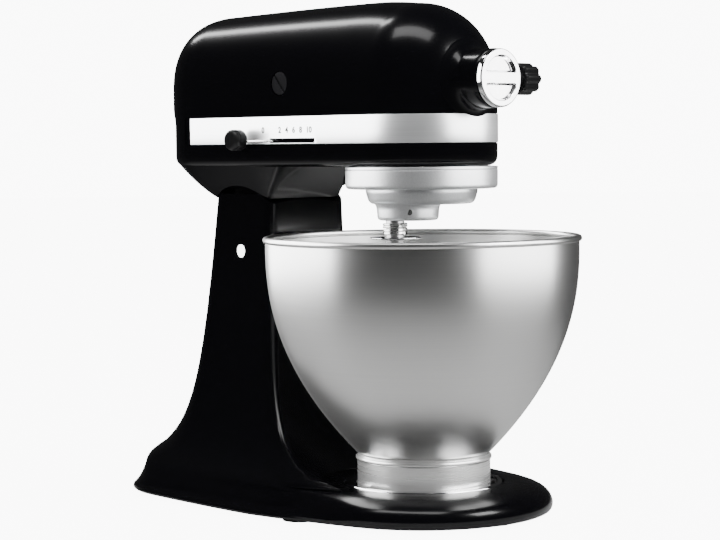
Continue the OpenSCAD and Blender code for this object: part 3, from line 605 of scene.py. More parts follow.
def dress(obj: bpy.types.Object, body: str, finish: Slot, *nodes: str) -> bpy.types.Object:
    """Rides a piece on its body, names its finish and hides the CAD nodes that it stands for.

    Args:
        obj: the piece.
        body: the body it moves with.
        finish: its finish.
        nodes: the nodes it replaces.

    Returns:
        The piece.
    """
    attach(obj, body)
    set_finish(obj, finish.value)
    if nodes:
        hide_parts(*nodes)
    return obj


@dataclass(frozen=True)
class Layout:
    """Key places of the mixer in millimetres, taken from the boxes of CAD nodes."""

    bowl_x: float
    bowl_r: float
    bowl_top: float
    bowl_floor: float
    base_back: float
    base_half: float
    base_top: float
    head_back: float
    head_r: float
    head_top: float
    pin_x: float
    pin_z: float
    column_half: float
    drive_z: float
    hub_face: float
    orbit: float

    @staticmethod
    def read() -> "Layout":
        """Reads the boxes.

        Returns:
            The layout.
        """
        bowl, base, pin = node_box("bowl"), node_box("base"), node_box("hinge_pin")
        head, cover, hub = node_box("upper_housing"), node_box("end_cover"), node_box("hub_sleeve")
        shaft, drive = node_box("agitator_shaft"), node_box("hub_drive_shaft")
        return Layout(
            bowl_x=float(bowl[0][0] + bowl[1][0]) / 2, bowl_r=float(bowl[1][1] - bowl[0][1]) / 2,
            bowl_top=float(bowl[1][2]), bowl_floor=float(bowl[0][2]), base_back=float(base[0][0]),
            base_half=float(base[1][1]), base_top=float(base[1][2]), head_back=float(cover[0][0]),
            head_r=float(head[1][1]), head_top=float(head[1][2]), pin_x=float(pin[0][0] + pin[1][0]) / 2,
            pin_z=float(pin[0][2] + pin[1][2]) / 2, column_half=float(pin[1][1]) - 0.5,
            drive_z=float(drive[0][2] + drive[1][2]) / 2, hub_face=float(hub[1][0]),
            orbit=-float(shaft[0][1] + shaft[1][1]) / 2)


# ---------- stand ----------


def resample_loop(points: Array, count: int, *along: Array) -> list[Array]:
    """Spaces the points of a closed outline evenly by length.

    Args:
        points: (n, 2) outline, without its first point repeated.
        count: number of points wanted.
        along: further arrays of n values carried with the points.

    Returns:
        The new outline, then each further array.
    """
    ring = np.vstack([points, points[:1]])
    length = np.concatenate([[0.0], np.cumsum(np.linalg.norm(np.diff(ring, axis=0), axis=1))])
    want = np.linspace(0, length[-1], count, endpoint=False)
    out = [np.stack([np.interp(want, length, ring[:, k]) for k in (0, 1)], -1)]
    for values in along:
        out.append(np.interp(want, length, np.append(values, values[0] + 2 * np.pi)))
    return out


@dataclass
class Base:
    """Cast base: a rounded slab whose plan is the smooth hull of five circles, with the bowl's recess."""

    at: Layout
    softness: float = 1.6
    points: int = 240
    recess_r: float = 56.0
    recess_z: float = 14.0
    rim: Pairs = ((8.0, 9.5), (2.5, 9.0), (2.5, 3.0), (3.2, 1.5), (4.4, 0.6), (6.0, 0.1),
                  (7.4, 0.0), (8.6, 0.1), (10.4, 0.6), (12.6, 1.6), (14.8, 3.3),
                  (16.8, 5.8), (18.6, 9.2), (20.2, 13.8), (21.3, 19.0), (21.9, 25.0),
                  (22.0, 30.0))

    def support(self, turn: Array) -> Array:
        """Support of the plan: h(u) = T log sum exp((c.u + r) / T) over the circles; point = h u + h' u_perp.

        Args:
            turn: directions in radians.

        Returns:
            Outline points, shaped (n, 2).
        """
        bx, back, half = self.at.bowl_x, self.at.base_back, self.at.base_half
        circles = np.array([[bx, 0, 90], [bx - 75, half - 80, 80], [bx - 75, 80 - half, 80],
                            [back + 62, half - 65, 60.9], [back + 62, 65 - half, 60.9]], float)
        u = np.stack([np.cos(turn), np.sin(turn)], -1)
        perp = np.stack([-u[:, 1], u[:, 0]], -1)
        s = (u @ circles[:, :2].T + circles[:, 2]) / self.softness
        top = s.max(axis=1, keepdims=True)
        weight = np.exp(s - top)
        h = self.softness * (np.log(weight.sum(axis=1)) + top[:, 0])
        weight /= weight.sum(axis=1, keepdims=True)
        slope = (weight * (perp @ circles[:, :2].T)).sum(axis=1)
        return h[:, None] * u + slope[:, None] * perp

    def outline(self) -> tuple[Array, Array]:
        """Evenly spaced outline and the direction of its normal at each point."""
        turn = np.linspace(0, 2 * np.pi, 6000, endpoint=False)
        pts, angle = resample_loop(self.support(turn), self.points, turn)
        return pts, np.stack([np.cos(angle), np.sin(angle)], -1)

    def skin(self) -> tuple[Array, Array]:
        """Rings from the hollow underside, round the rim, over the flat top and down into the recess.

        The rim is a bullnose at the front; further back it slopes by 19.4 (1 - exp(-(z-5.5)/10)).
        """
        pts, normal = self.outline()
        nose = smooth_step((pts[:, :1] - self.at.bowl_x + 50) / 80)
        rows = []
        for z, inset in self.rim:
            slope = max(inset, 18 * (1 - math.exp(-max(z - 5.5, 0) / 10)) * 1.08) if z > 5.5 else inset
            rows.append(np.column_stack([pts - (slope + (inset - slope) * nose) * normal, np.full(len(pts), z)]))
        hub = np.array([self.at.bowl_x, 0.0])
        under = np.column_stack([np.broadcast_to([self.at.bowl_x - 80, 0.0], pts.shape), np.full(len(pts), 8.0)])
        dish = [(self.recess_r + 1.2, 22.0), (self.recess_r + 0.35, 21.65), (self.recess_r, 20.8),
                (self.recess_r, self.recess_z), (0.0, self.recess_z)]
        rings = [np.column_stack([hub + r * normal, np.full(len(pts), z)]) for r, z in dish]
        grid = np.stack([under, *rows, *rings])
        return grid.reshape(-1, 3), grid_faces(len(grid), len(pts), True)

    def build(self) -> bpy.types.Object:
        """Builds the base with five bosses for its rubber feet.

        Returns:
            The base.
        """
        boss = [(0, 8.2), (13, 8.2), (13, 3.0), (12.5, 2.5), (0, 2.5)]
        bosses = []
        for x, y in ((self.at.bowl_x + 66, 0), (self.at.bowl_x - 40, 81), (self.at.bowl_x - 40, -81),
                     (self.at.base_back + 50, 59), (self.at.base_back + 50, -59)):
            bosses.append(revolved(boss, (x, y, 0), segments=40))
        base = add_mesh("base_casting", [self.skin(), *bosses])
        return dress(base, "stand", Slot.ENAMEL, "base")


def round_meet(a: Array, b: Array, radius: Array | float) -> Array:
    """Distance to the part inside both a and b, with a rounded corner.

    The value is min(max(a + r, b + r), 0) + length(max(a + r, 0), max(b + r, 0)) - r.
    """
    pa, pb = a + radius, b + radius
    return np.minimum(np.maximum(pa, pb), 0) + np.hypot(np.maximum(pa, 0), np.maximum(pb, 0)) - radius


@dataclass
class Column:
    """Column: level curves of a form with a round front about the bowl and a skirt that meets the base's rim."""

    at: Layout
    base: Base
    levels: tuple[float, ...] = (7.0, 8.2, 9.6, 11.4, 13.4, 15.6, 17.6, 19.2, 20.5, 21.5, 22.3, 23.2, 24.2, 25.4,
                                 26.8, 28.4, 30.4, 32.8, 35.6, 39.0, 43.0, 48.0, 54.0, 61.0, 70.0, 81.0, 95.0,
                                 112.0, 133.0, 158.0, 185.0, 206.0, 222.0)
    spokes: int = 220
    depth: int = 420
    centre: float = 150.0
    spoke_turn: float = 76.0
    spoke_reach: float = 190.0
    front_r: float = 122.0
    ear_in: float = 32.5
    seam_r: float = 47.4
    seam_rise: float = 24.0
    pin_hole_r: float = 5.2

    def half_width(self, x: Array, z: Array) -> Array:
        """Half width: the soft least of the flare and the foot curve, less 12 ((x+80)/75)^2 ahead of x = -80.

        With z held at 12 or more, the flare is h - 5.1 + 1100/(z-4), h being the column's half width, and the
        foot curve is 92 - 1.1 (z-17) + 0.02 (z-17)^2. Their soft least is -4 log(e^(-a/4) + e^(-b/4)).
        """
        low = np.maximum(z, 12)
        wide = self.at.column_half - 5.1 + 1100 / (low - 4)
        line = 92 - 1.1 * (low - 17) + 0.02 * (low - 17) ** 2
        wide = -4 * np.logaddexp(-wide / 4, -line / 4)
        return wide - 12 * (np.maximum(0, x + 80) / 75) ** 2

    def distance(self, x: Array, y: Array, z: Array, rim: Array) -> Array:
        """Distance outside the column's level curve, negative inside.

        Args:
            x: place along X from the bowl's axis.
            y: place along Y.
            z: height.
            rim: distance inside the base's outline.

        Returns:
            The rounded meeting of side, back, front circle and base rim.
        """
        side = np.abs(y) - self.half_width(x, z)
        rear = -181 - 0.12 * (218 - z) - 1250 / np.maximum(z - 5, 6) + 5.9
        back = rear - x
        front = self.front_r - 50 * np.exp(-(np.maximum(z, 23.5) - 24) / 30) - np.hypot(x, y)
        edge = 14 * (1 - np.exp(-np.maximum(z - 5, 0) / 13)) - rim
        soft = np.minimum(7 + np.maximum(0, 1500 / np.maximum(z - 5, 6) - 7), 50)
        body = round_meet(round_meet(side, back, soft), edge, 6.0)
        return round_meet(body, front, np.minimum(3 + 0.05 * z, 9.0))

    def rim_distance(self, x: Array, y: Array) -> Array:
        """Distance inside the base's outline: the least of h(u) - p.u over directions u."""
        turn = np.linspace(0, 2 * np.pi, 180, endpoint=False)
        u = np.stack([np.cos(turn), np.sin(turn)])
        h = (self.base.support(turn) * u.T).sum(axis=1)
        p = np.stack([x.ravel() + self.at.bowl_x, y.ravel()], -1)
        out = np.empty(len(p))
        for k in range(0, len(p), 200000):
            out[k:k + 200000] = (h[None] - p[k:k + 200000] @ u).min(axis=1)
        return out.reshape(x.shape)

    def rings(self) -> Array:
        """Level curves found along spokes in (angle about the bowl, distance from the bowl) space.

        Returns:
            Points shaped (levels, spokes, 3).
        """
        z = np.array(self.levels)[:, None, None]
        turn = np.linspace(-np.pi, np.pi, self.spokes, endpoint=False)[None, :, None]
        reach = np.linspace(0, 1, self.depth)[None, None, :] ** 1.2 * self.spoke_reach
        angle = reach * np.sin(turn) / self.spoke_turn
        radius = self.centre - reach * np.cos(turn)
        x, y = -radius * np.cos(angle), radius * np.sin(angle)
        rim = self.rim_distance(x[0], y[0])[None]
        far = self.distance(x, y, z, rim) + np.where((radius < 20) | (np.abs(angle) > 2.8), 1e3, 0)
        out = far > 0
        first = np.clip(out.argmax(axis=2), 1, self.depth - 1)
        before = np.take_along_axis(far, first[..., None] - 1, 2)[..., 0]
        after = np.take_along_axis(far, first[..., None], 2)[..., 0]
        mix = np.clip(before / (before - after), 0, 1)
        steps = np.broadcast_to(reach[0, 0], far.shape)
        r0 = np.take_along_axis(steps, first[..., None] - 1, 2)[..., 0]
        r1 = np.take_along_axis(steps, first[..., None], 2)[..., 0]
        r = r0 + mix * (r1 - r0)
        ang = r * np.sin(turn[..., 0]) / self.spoke_turn
        rad = self.centre - r * np.cos(turn[..., 0])
        height = np.broadcast_to(z[..., 0], r.shape)
        return np.stack([self.at.bowl_x - rad * np.cos(ang), rad * np.sin(ang), height], -1)

    def cutters(self) -> list[tuple[Array, Iterable]]:
        """Shapes taken out: above the ears' hollow arc, the slot and hollow between them, pin hole and lock pocket."""
        px, pz = self.at.pin_x, self.at.pin_z
        rise = self.seam_rise
        half = math.sqrt(self.seam_r ** 2 - rise ** 2)
        a = np.linspace(math.atan2(rise, -half), math.atan2(rise, half), 40)
        arc = np.stack([px + self.seam_r * np.cos(a), pz + self.seam_r * np.sin(a)], -1)
        over = np.vstack([[px - 66, pz + rise], arc, [px + 66, pz + rise], [px + 66, pz + 90], [px - 66, pz + 90]])
        front = self.at.bowl_x - self.front_r
        return [prism(over, -62, 62, "Y"),
                prism(rectangle(front - 58, front - 6, 118, 240), -self.ear_in, self.ear_in, "Y"),
                prism(rectangle(front - 100, front - 25, pz - 9, pz + 70), -self.ear_in, self.ear_in, "Y"),
                prism(disc_outline(px, pz, self.pin_hole_r, 40), -60, 60, "Y"),
                prism(rectangle(front - 7, front - 1.8, 207.5, 215.5), 8.5, 21.5, "Y")]

    def build(self) -> bpy.types.Object:
        """Builds the column.

        Returns:
            The column.
        """
        grid = self.rings()
        n = grid.shape[1]
        faces = grid_faces(len(grid), n, True).tolist()
        faces += [list(range(n))[::-1], list(range((len(grid) - 1) * n, len(grid) * n))]
        column = add_mesh("column_casting", [(grid.reshape(-1, 3), faces)])
        carve(column, self.cutters())
        dress(column, "stand", Slot.ENAMEL, "column")
        return column


# ---------- motor head ----------


@dataclass
class HeadForm:
    """Outer form of the motor head: a plan outline raised to a domed crown over a spine."""

    at: Layout
    side_z: float = 297.0
    belly_z: float = 242.0
    points: int = 264
    rear_power: float = 2.5
    crown_rows: int = 26
    bottom: Pairs = ((293.0, 0.0), (289.0, 0.0), (285.0, 0.0), (281.5, 0.0), (278.1, 0.0),
                     (274.0, 0.0), (268.0, 0.0), (262.0, 0.0), (257.9, 0.0), (253.0, 0.0),
                     (249.5, 0.0), (247.0, 0.3), (245.0, 1.2), (243.4, 2.8), (242.4, 5.2),
                     (242.0, 8.5))

    @property
    def rear_spine(self) -> float:
        """Rear end of the spine along X."""
        return self.at.head_back + self.at.head_r

    def plan(self) -> tuple[Array, Array]:
        """Plan outline and the spine point under each of its points.

        The front is a half circle, the sides are straight, and the rear is |x|^p + |y|^p = R^p.

        Returns:
            Outline and spine points, each shaped (n, 2).
        """
        r = self.at.head_r
        front = np.linspace(-np.pi / 2, np.pi / 2, 400, endpoint=False)
        rear = np.linspace(np.pi / 2, 3 * np.pi / 2, 400, endpoint=False)
        power = 2 / self.rear_power
        c, s = np.cos(rear), np.sin(rear)
        arc_front = np.stack([self.at.bowl_x + r * np.cos(front), r * np.sin(front)], -1)
        arc_rear = np.stack([self.rear_spine - r * np.abs(c) ** power, r * np.sign(s) * np.abs(s) ** power], -1)
        run = np.linspace(0, 1, 300, endpoint=False)[:, None]
        left = np.array([[self.at.bowl_x, r]]) * (1 - run) + np.array([[self.rear_spine, r]]) * run
        right = np.array([[self.rear_spine, -r]]) * (1 - run) + np.array([[self.at.bowl_x, -r]]) * run
        loop = np.vstack([arc_front, left, arc_rear, right])
        pts = resample_loop(loop, self.points)[0]
        spine = np.stack([np.clip(pts[:, 0], self.rear_spine, self.at.bowl_x), 0 * pts[:, 0]], -1)
        return pts, spine

    def top(self, x: Array) -> Array:
        """Crown height: 357 - 3.6 ((-35-x)/175)^1.5 behind x = -35 from the bowl, 357 - 2.2 ((x+35)/35)^2 before."""
        rel = x - self.at.bowl_x
        behind = 3.6 * (np.maximum(0, -35 - rel) / 175) ** 1.5
        before = 2.2 * (np.maximum(0, rel + 35) / 35) ** 2
        return self.at.head_top - behind - before

    def power(self, x: Array) -> Array:
        """Crown exponent, 2.05 at the front to 2.4 at the rear."""
        t = np.clip((self.at.bowl_x - x) / (self.at.bowl_x - self.rear_spine), 0, 1)
        return 2.05 + 0.35 * t

    def front_x(self, y: Array, z: Array) -> Array:
        """Front surface: x = bowl + sqrt(R(z)^2 - y^2), where R(z) follows the crown above the sides."""
        lift = np.clip((z - self.side_z) / (self.top(np.array(self.at.bowl_x)) - self.side_z), 0, 1)
        radius = self.at.head_r * (1 - lift ** 2.05) ** (1 / 2.05)
        return self.at.bowl_x + np.sqrt(np.maximum(radius ** 2 - y ** 2, 0))

    def grid(self) -> Array:
        """All rows, from the crown's spine down the sides to the belly's spine.

        Point = spine + (outline - spine) cos(e)^(2/n), z = side + (top - side) sin(e)^(2/n).

        Returns:
            Points shaped (rows, points, 3).
        """
        pts, spine = self.plan()
        out = pts - spine
        unit = out / np.linalg.norm(out, axis=1, keepdims=True)
        rows = []
        share = 2 / self.power(spine[:, 0])
        for e in np.linspace(np.pi / 2, 0, self.crown_rows):
            c, s = np.cos(e) ** share, np.sin(e) ** share
            c = np.where(e > np.pi / 2 - 1e-6, 0, c)
            z = self.side_z + (self.top(spine[:, 0]) - self.side_z) * s
            rows.append(np.column_stack([spine + out * c[:, None], z]))
        behind = np.clip((self.rear_spine - pts[:, 0]) / self.at.head_r, 0, 1)
        for z, inset in self.bottom:
            tuck = 4.5 * smooth_step((285 - z) / 12) * behind ** 2
            flat = pts - unit * inset
            flat[:, 0] += tuck
            rows.append(np.column_stack([flat, np.full(len(flat), z)]))
        rows.append(np.column_stack([spine, np.full(len(spine), self.belly_z)]))
        return np.stack(rows)

    def shell(self, name: str) -> bpy.types.Object:
        """The whole form as one closed object."""
        grid = self.grid()
        return add_mesh(name, [(grid.reshape(-1, 3), grid_faces(len(grid), grid.shape[1], True))])


@dataclass
class Casings:
    """Upper casing, lower casing with neck and lug, rear cover and the seat behind the trim band."""

    at: Layout
    form: HeadForm
    seam: float = 0.25
    wall: float = 2.6
    band_low: float = 258.0
    band_high: float = 278.0
    cover_x: float = -128.0
    band_end: float = -121.5
    brush_x: float = -22.0
    brush_hole: float = 8.6

    def half(self, whole: bpy.types.Object, name: str, cuts: Sequence[tuple],
             holes: bool = False) -> bpy.types.Object:
        """Copies the form, cuts it by planes and gives it a wall.

        Args:
            whole: the closed form.
            name: name of the new piece.
            cuts: (point, normal) of each plane; the side that the normal points to stays.
            holes: True to bore the holes of the brush caps.

        Returns:
            The piece.
        """
        piece = duplicate(whole, name)
        for point, normal in cuts:
            keep_side(piece, point, normal)
        thicken(piece, self.wall)
        if holes:
            carve(piece, [revolved([(0, -70), (self.brush_hole, -70), (self.brush_hole, 70), (0, 70)],
                                   (self.brush_x, 0, self.at.drive_z), "Y", 48)])
        dress(piece, "head", Slot.ENAMEL)
        return piece

    def neck(self) -> bpy.types.Object:
        """Neck between head and column, and the lug on the hinge pin.

        With t = (z-218.8)/28: front = -121.5 + 28 t^1.5, rear = -181 - 52 t^0.9, half width = 37.8 + 13 t^1.1 and
        corner radius = 7 + 30 t^1.5. The ears' tops are cut clear by a cylinder about the pin.

        Returns:
            The neck.
        """
        levels, n = np.linspace(218.8, 246.8, 22), 12
        rings = []
        for z in levels:
            t = (z - 218.8) / 28
            front, rear = self.at.bowl_x - 121.5 + 28 * t ** 1.5, self.at.bowl_x - 181 - 52 * t ** 0.9
            half, r = 37.8 + 13 * t ** 1.1, 7 + 30 * t ** 1.5
            ring = []
            for q, (cx, cy) in enumerate(((front - r, half - r), (rear + r, half - r), (rear + r, r - half),
                                          (front - r, r - half))):
                a = np.radians(90 * q) + np.linspace(0, np.pi / 2, n)
                ring.append(np.stack([cx + r * np.cos(a), cy + r * np.sin(a), np.full(n, z)], -1))
            rings.append(np.vstack(ring))
        grid = np.stack(rings)
        count = grid.shape[1]
        faces = grid_faces(len(grid), count, True).tolist()
        faces += [list(range(count))[::-1], list(range((len(grid) - 1) * count, len(grid) * count))]
        neck = add_mesh("head_neck", [(grid.reshape(-1, 3), faces)])
        px, pz = self.at.pin_x, self.at.pin_z
        carve(neck, [revolved([(0, -70), (48.1, -70), (48.1, 70), (0, 70)], (px, 0, pz), "Y", 160)])
        a = np.linspace(np.radians(172), np.radians(368), 40)
        lug = np.vstack([np.stack([px + 18 * np.cos(a), pz + 18 * np.sin(a)], -1),
                         [[px + 22.5, 216], [px + 27, 240], [px - 30, 240], [px - 27, 222]]])
        piece = add_mesh("hinge_lug", [prism(lug, -32.0, 32.0, "Y")])
        carve(piece, [prism(disc_outline(px, pz, 5.0, 40), -60, 60, "Y")])
        soften(piece, 0.8)
        for part in (neck, piece):
            dress(part, "head", Slot.ENAMEL)
        return neck

    def hub_boss(self) -> bpy.types.Object:
        """Boss of the hub: rings of radius 20 + 9(1-s)^2 at front_x + 7 s^2, then a drum and its bored face."""
        phi = np.linspace(0, 2 * np.pi, 96, endpoint=False)
        rows = []
        for s in np.linspace(0, 1, 14):
            rho = 20 + 9 * (1 - s) ** 2
            y, z = rho * np.sin(phi), self.at.drive_z + rho * np.cos(phi)
            x = self.form.front_x(y, z) + 7 * s * s - (1.2 if s == 0 else 0.0)
            rows.append(np.stack([x, y, z], -1))
        face = self.at.hub_face
        for rho, x in ((20.0, face - 5), (20.0, face - 0.9), (19.7, face - 0.3), (19.1, face), (16.9, face),
                       (16.3, face - 0.3), (16.1, face - 1), (16.1, face - 30)):
            rows.append(np.stack([np.full(96, x), rho * np.sin(phi), self.at.drive_z + rho * np.cos(phi)], -1))
        rows.append(rows[0] - np.array([3.0, 0, 0]))
        rows.append(rows[0])
        grid = np.stack(rows)
        boss = add_mesh("hub_boss", [(grid.reshape(-1, 3), grid_faces(len(grid), 96, True))])
        screw_hole = [(0, 8), (3.4, 8), (3.4, 60), (0, 60)]
        carve(boss, [revolved(screw_hole, (self.at.bowl_x + 62, 0, self.at.drive_z), "Y", 24)])
        return dress(boss, "head", Slot.ENAMEL)

    def build(self) -> None:
        """Builds the four casing pieces, the neck and the hub boss."""
        whole = self.form.shell("head_whole")
        s = self.seam / 2
        ahead = ((self.cover_x + s, 0, 0), (1, 0, 0))
        upper = self.half(whole, "upper_casing", [((0, 0, self.band_high + s), (0, 0, 1)), ahead], holes=True)
        lower = self.half(whole, "lower_casing", [((0, 0, self.band_low - s), (0, 0, -1)), ahead])
        cover = self.half(whole, "rear_cover", [((self.cover_x - s, 0, 0), (-1, 0, 0))])
        seat = self.seat()
        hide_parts("upper_housing")
        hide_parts("lower_housing")
        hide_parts("end_cover")
        data = whole.data
        bpy.data.objects.remove(whole)
        bpy.data.meshes.remove(data)
        self.neck()
        self.hub_boss()
        LOG.info("casings: %d, %d, %d and %d faces", *[len(o.data.polygons) for o in (upper, lower, cover, seat)])

    def zone(self, name: str, outer: float, inner: float, low: float, high: float, start: float,
             finish: Slot, edge: float = 0.0) -> bpy.types.Object:
        """A strip round the sides and nose of the head, whose section is a rounded bar.

        Args:
            name: the piece's name.
            outer: how far its face stands off the head.
            inner: how far its back stands off the head.
            low: lower edge.
            high: upper edge.
            start: X of its two rear ends.
            finish: its finish.
            edge: radius of its outer corners.

        Returns:
            The strip.
        """
        r = self.at.head_r
        turn = np.linspace(-np.pi / 2, np.pi / 2, 97)
        run = np.linspace(start, self.at.bowl_x, 40)[:-1]
        section = [(inner, low), (outer - edge, low), (outer - edge * 0.3, low + edge * 0.3), (outer, low + edge),
                   (outer, high - edge), (outer - edge * 0.3, high - edge * 0.3), (outer - edge, high), (inner, high)]
        grid = []
        for off, z in section:
            side = np.stack([run, np.full(len(run), -r - off)], -1)
            nose = np.stack([self.at.bowl_x + (r + off) * np.cos(turn), (r + off) * np.sin(turn)], -1)
            line = np.vstack([side, nose, (side * [1, -1])[::-1]])
            grid.append(np.column_stack([line, np.full(len(line), z)]))
        mesh = np.stack(grid, axis=1)
        n = len(section)
        faces = grid_faces(len(mesh), n, True).tolist()
        faces += [list(range(n))[::-1], list(range((len(mesh) - 1) * n, len(mesh) * n))]
        strip = add_mesh(name, [(mesh.reshape(-1, 3), faces)], weld_mm=0.001)
        dress(strip, "head", finish)
        return strip

    def seat(self) -> bpy.types.Object:
        """Dark seat behind the trim band."""
        return self.zone("band_seat", -0.7, -3.0, self.band_low - 1.5, self.band_high + 1.5, self.cover_x + 0.3,
                         Slot.ENAMEL)


@dataclass
class TrimBand:
    """Bright band with the speed slot and the dial's numbers."""

    at: Layout
    casings: Casings
    slot_low: float = 259.0
    slot_high: float = 262.4
    number_size: float = 5.9
    number_z: float = 266.2
    numbers: tuple[tuple[str, float], ...] = (("0", -106.0), ("2", -88.0), ("4", -80.6), ("6", -73.2), ("8", -65.8),
                                              ("10", -57.2))

    def build(self) -> None:
        """Builds the band and its numbers."""
        c = self.casings
        band = c.zone("speed_band", 0.35, -0.6, c.band_low + 0.2, c.band_high - 0.2, c.band_end, Slot.TRIM, 0.5)
        x0, x1 = self.at.bowl_x - 99, self.at.bowl_x - 51.4
        box = np.array([[x0, -60], [x1, -60], [x1, -45], [x0, -45]])
        carve(band, [prism(box, self.slot_low, self.slot_high, "Z")])
        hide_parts("trim_band", "trim_band_screws")
        for text, x in self.numbers:
            self.number(f"dial_number_{text}", text, self.at.bowl_x + x)

    def number(self, name: str, text: str, x: float) -> bpy.types.Object:
        """A thin printed number, made from a text curve turned to a mesh and stood on the band's -Y face."""
        curve = bpy.data.curves.new(name, "FONT")
        curve.body, curve.size, curve.align_x = text, self.number_size * MM, "CENTER"
        curve.extrude, curve.offset, curve.resolution_u = 0.06 * MM, 0.17 * MM, 4
        temp = bpy.data.objects.new(name + "_curve", curve)
        bpy.context.scene.collection.objects.link(temp)
        graph = bpy.context.evaluated_depsgraph_get()
        mesh = bpy.data.meshes.new_from_object(temp.evaluated_get(graph))
        bpy.data.objects.remove(temp)
        stand = Matrix(((1, 0, 0, x * MM), (0, 0, -1, -(self.at.head_r + 0.38) * MM), (0, 1, 0, self.number_z * MM),
                        (0, 0, 0, 1)))
        mesh.transform(stand)
        mesh.name = name
        mesh.materials.clear()
        obj = bpy.data.objects.new(name, mesh)
        bpy.context.scene.collection.objects.link(obj)
        dress(obj, "head", Slot.BLACK_PLASTIC)
        return obj


# ---------- planetary drive, hub and controls ----------


@dataclass
class Planetary:
    """Drip ring, planetary housing, coil spring and washer."""

    at: Layout
    coil_r: float = 7.65
    wire_r: float = 0.9
    turns: float = 4.2
    spring_low: float = 195.1
    spring_high: float = 203.6

    def drip_ring(self) -> bpy.types.Object:
        """Ring under the head, with a rounded lower edge and a fine groove near its top."""
        profile = closed_profile([(47.2, 226.6, 0.4), (52.9, 226.6, 3.2), (53.0, 239.4, 0.2), (52.6, 239.8, 0.1),
                                  (53.0, 240.2, 0.2), (53.0, 241.8, 0.4), (47.2, 241.8, 0.2)], 7)
        ring = add_mesh("drip_ring_skin", [revolved(profile, (self.at.bowl_x, 0, 0), segments=144)])
        return dress(ring, "head", Slot.CAST, "drip_ring")

    def housing(self) -> bpy.types.Object:
        """Planetary housing: a shallow drum with a turned step, and the boss of the agitator shaft."""
        drum = round_profile([(0, 228.3, 0), (38.9, 228.3, 0.6), (39.0, 224.6, 1.2), (36.6, 216.2, 5.0),
                              (30.0, 216.0, 0.8), (0, 216.0, 0)], 9)
        boss = round_profile([(0, 217.5, 0), (24.0, 217.5, 0.3), (21.8, 214.5, 2.4), (21.0, 205.0, 2.6),
                              (9.6, 205.0, 0.6), (9.0, 205.8, 0.3), (0, 205.8, 0)], 6)
        parts = [revolved(drum, (self.at.bowl_x, 0, 0), segments=128),
                 revolved(boss, (self.at.bowl_x, -13.5, 0), segments=96)]
        return dress(add_mesh("planetary_drum", parts), "planetary", Slot.CAST, "planetary_housing")

    def spring(self) -> bpy.types.Object:
        """Coil: centre (R cos t, R sin t, z0 + rise t), with a round wire carried along it and closed ends."""
        t = np.linspace(0, 2 * np.pi * self.turns, int(44 * self.turns))
        share = t / t[-1]
        travel = self.spring_high - self.spring_low - 2 * self.wire_r
        rise = self.spring_low + self.wire_r + travel * smooth_step(share)
        out = np.stack([np.cos(t), np.sin(t), 0 * t], -1)
        line = out * self.coil_r + np.stack([0 * t + self.at.bowl_x, 0 * t - self.at.orbit, rise], -1)
        ring = np.linspace(0, 2 * np.pi, 10, endpoint=False)
        tube = line[:, None] + self.wire_r * (np.cos(ring)[None, :, None] * out[:, None]
                                              + np.sin(ring)[None, :, None] * np.array([0, 0, 1.0]))
        n = len(ring)
        faces = grid_faces(len(t), n, True).tolist()
        faces += [list(range(n))[::-1], list(range((len(t) - 1) * n, len(t) * n))]
        return dress(add_mesh("shaft_spring", [(tube.reshape(-1, 3), faces)]), "agitator", Slot.SCREW,
                     "agitator_spring")

    def washer(self) -> bpy.types.Object:
        """Pressed washer with a raised collar and a rolled edge."""
        profile = closed_profile([(6.42, 192.4, 0.1), (17.4, 192.4, 0.4), (17.5, 193.7, 0.5), (16.2, 193.5, 0.3),
                                  (9.6, 193.3, 0.4), (9.0, 194.0, 0.3), (6.42, 194.0, 0.1)], 4)
        washer = add_mesh("shaft_washer", [revolved(profile, (self.at.bowl_x, -self.at.orbit, 0), segments=72)])
        return dress(washer, "agitator", Slot.CHROME, "spring_washer")

    def build(self) -> None:
        """Builds the four pieces."""
        for piece in (self.drip_ring(), self.housing(), self.spring(), self.washer()):
            LOG.info("drive: %s, %d faces", piece.name, len(piece.data.polygons))


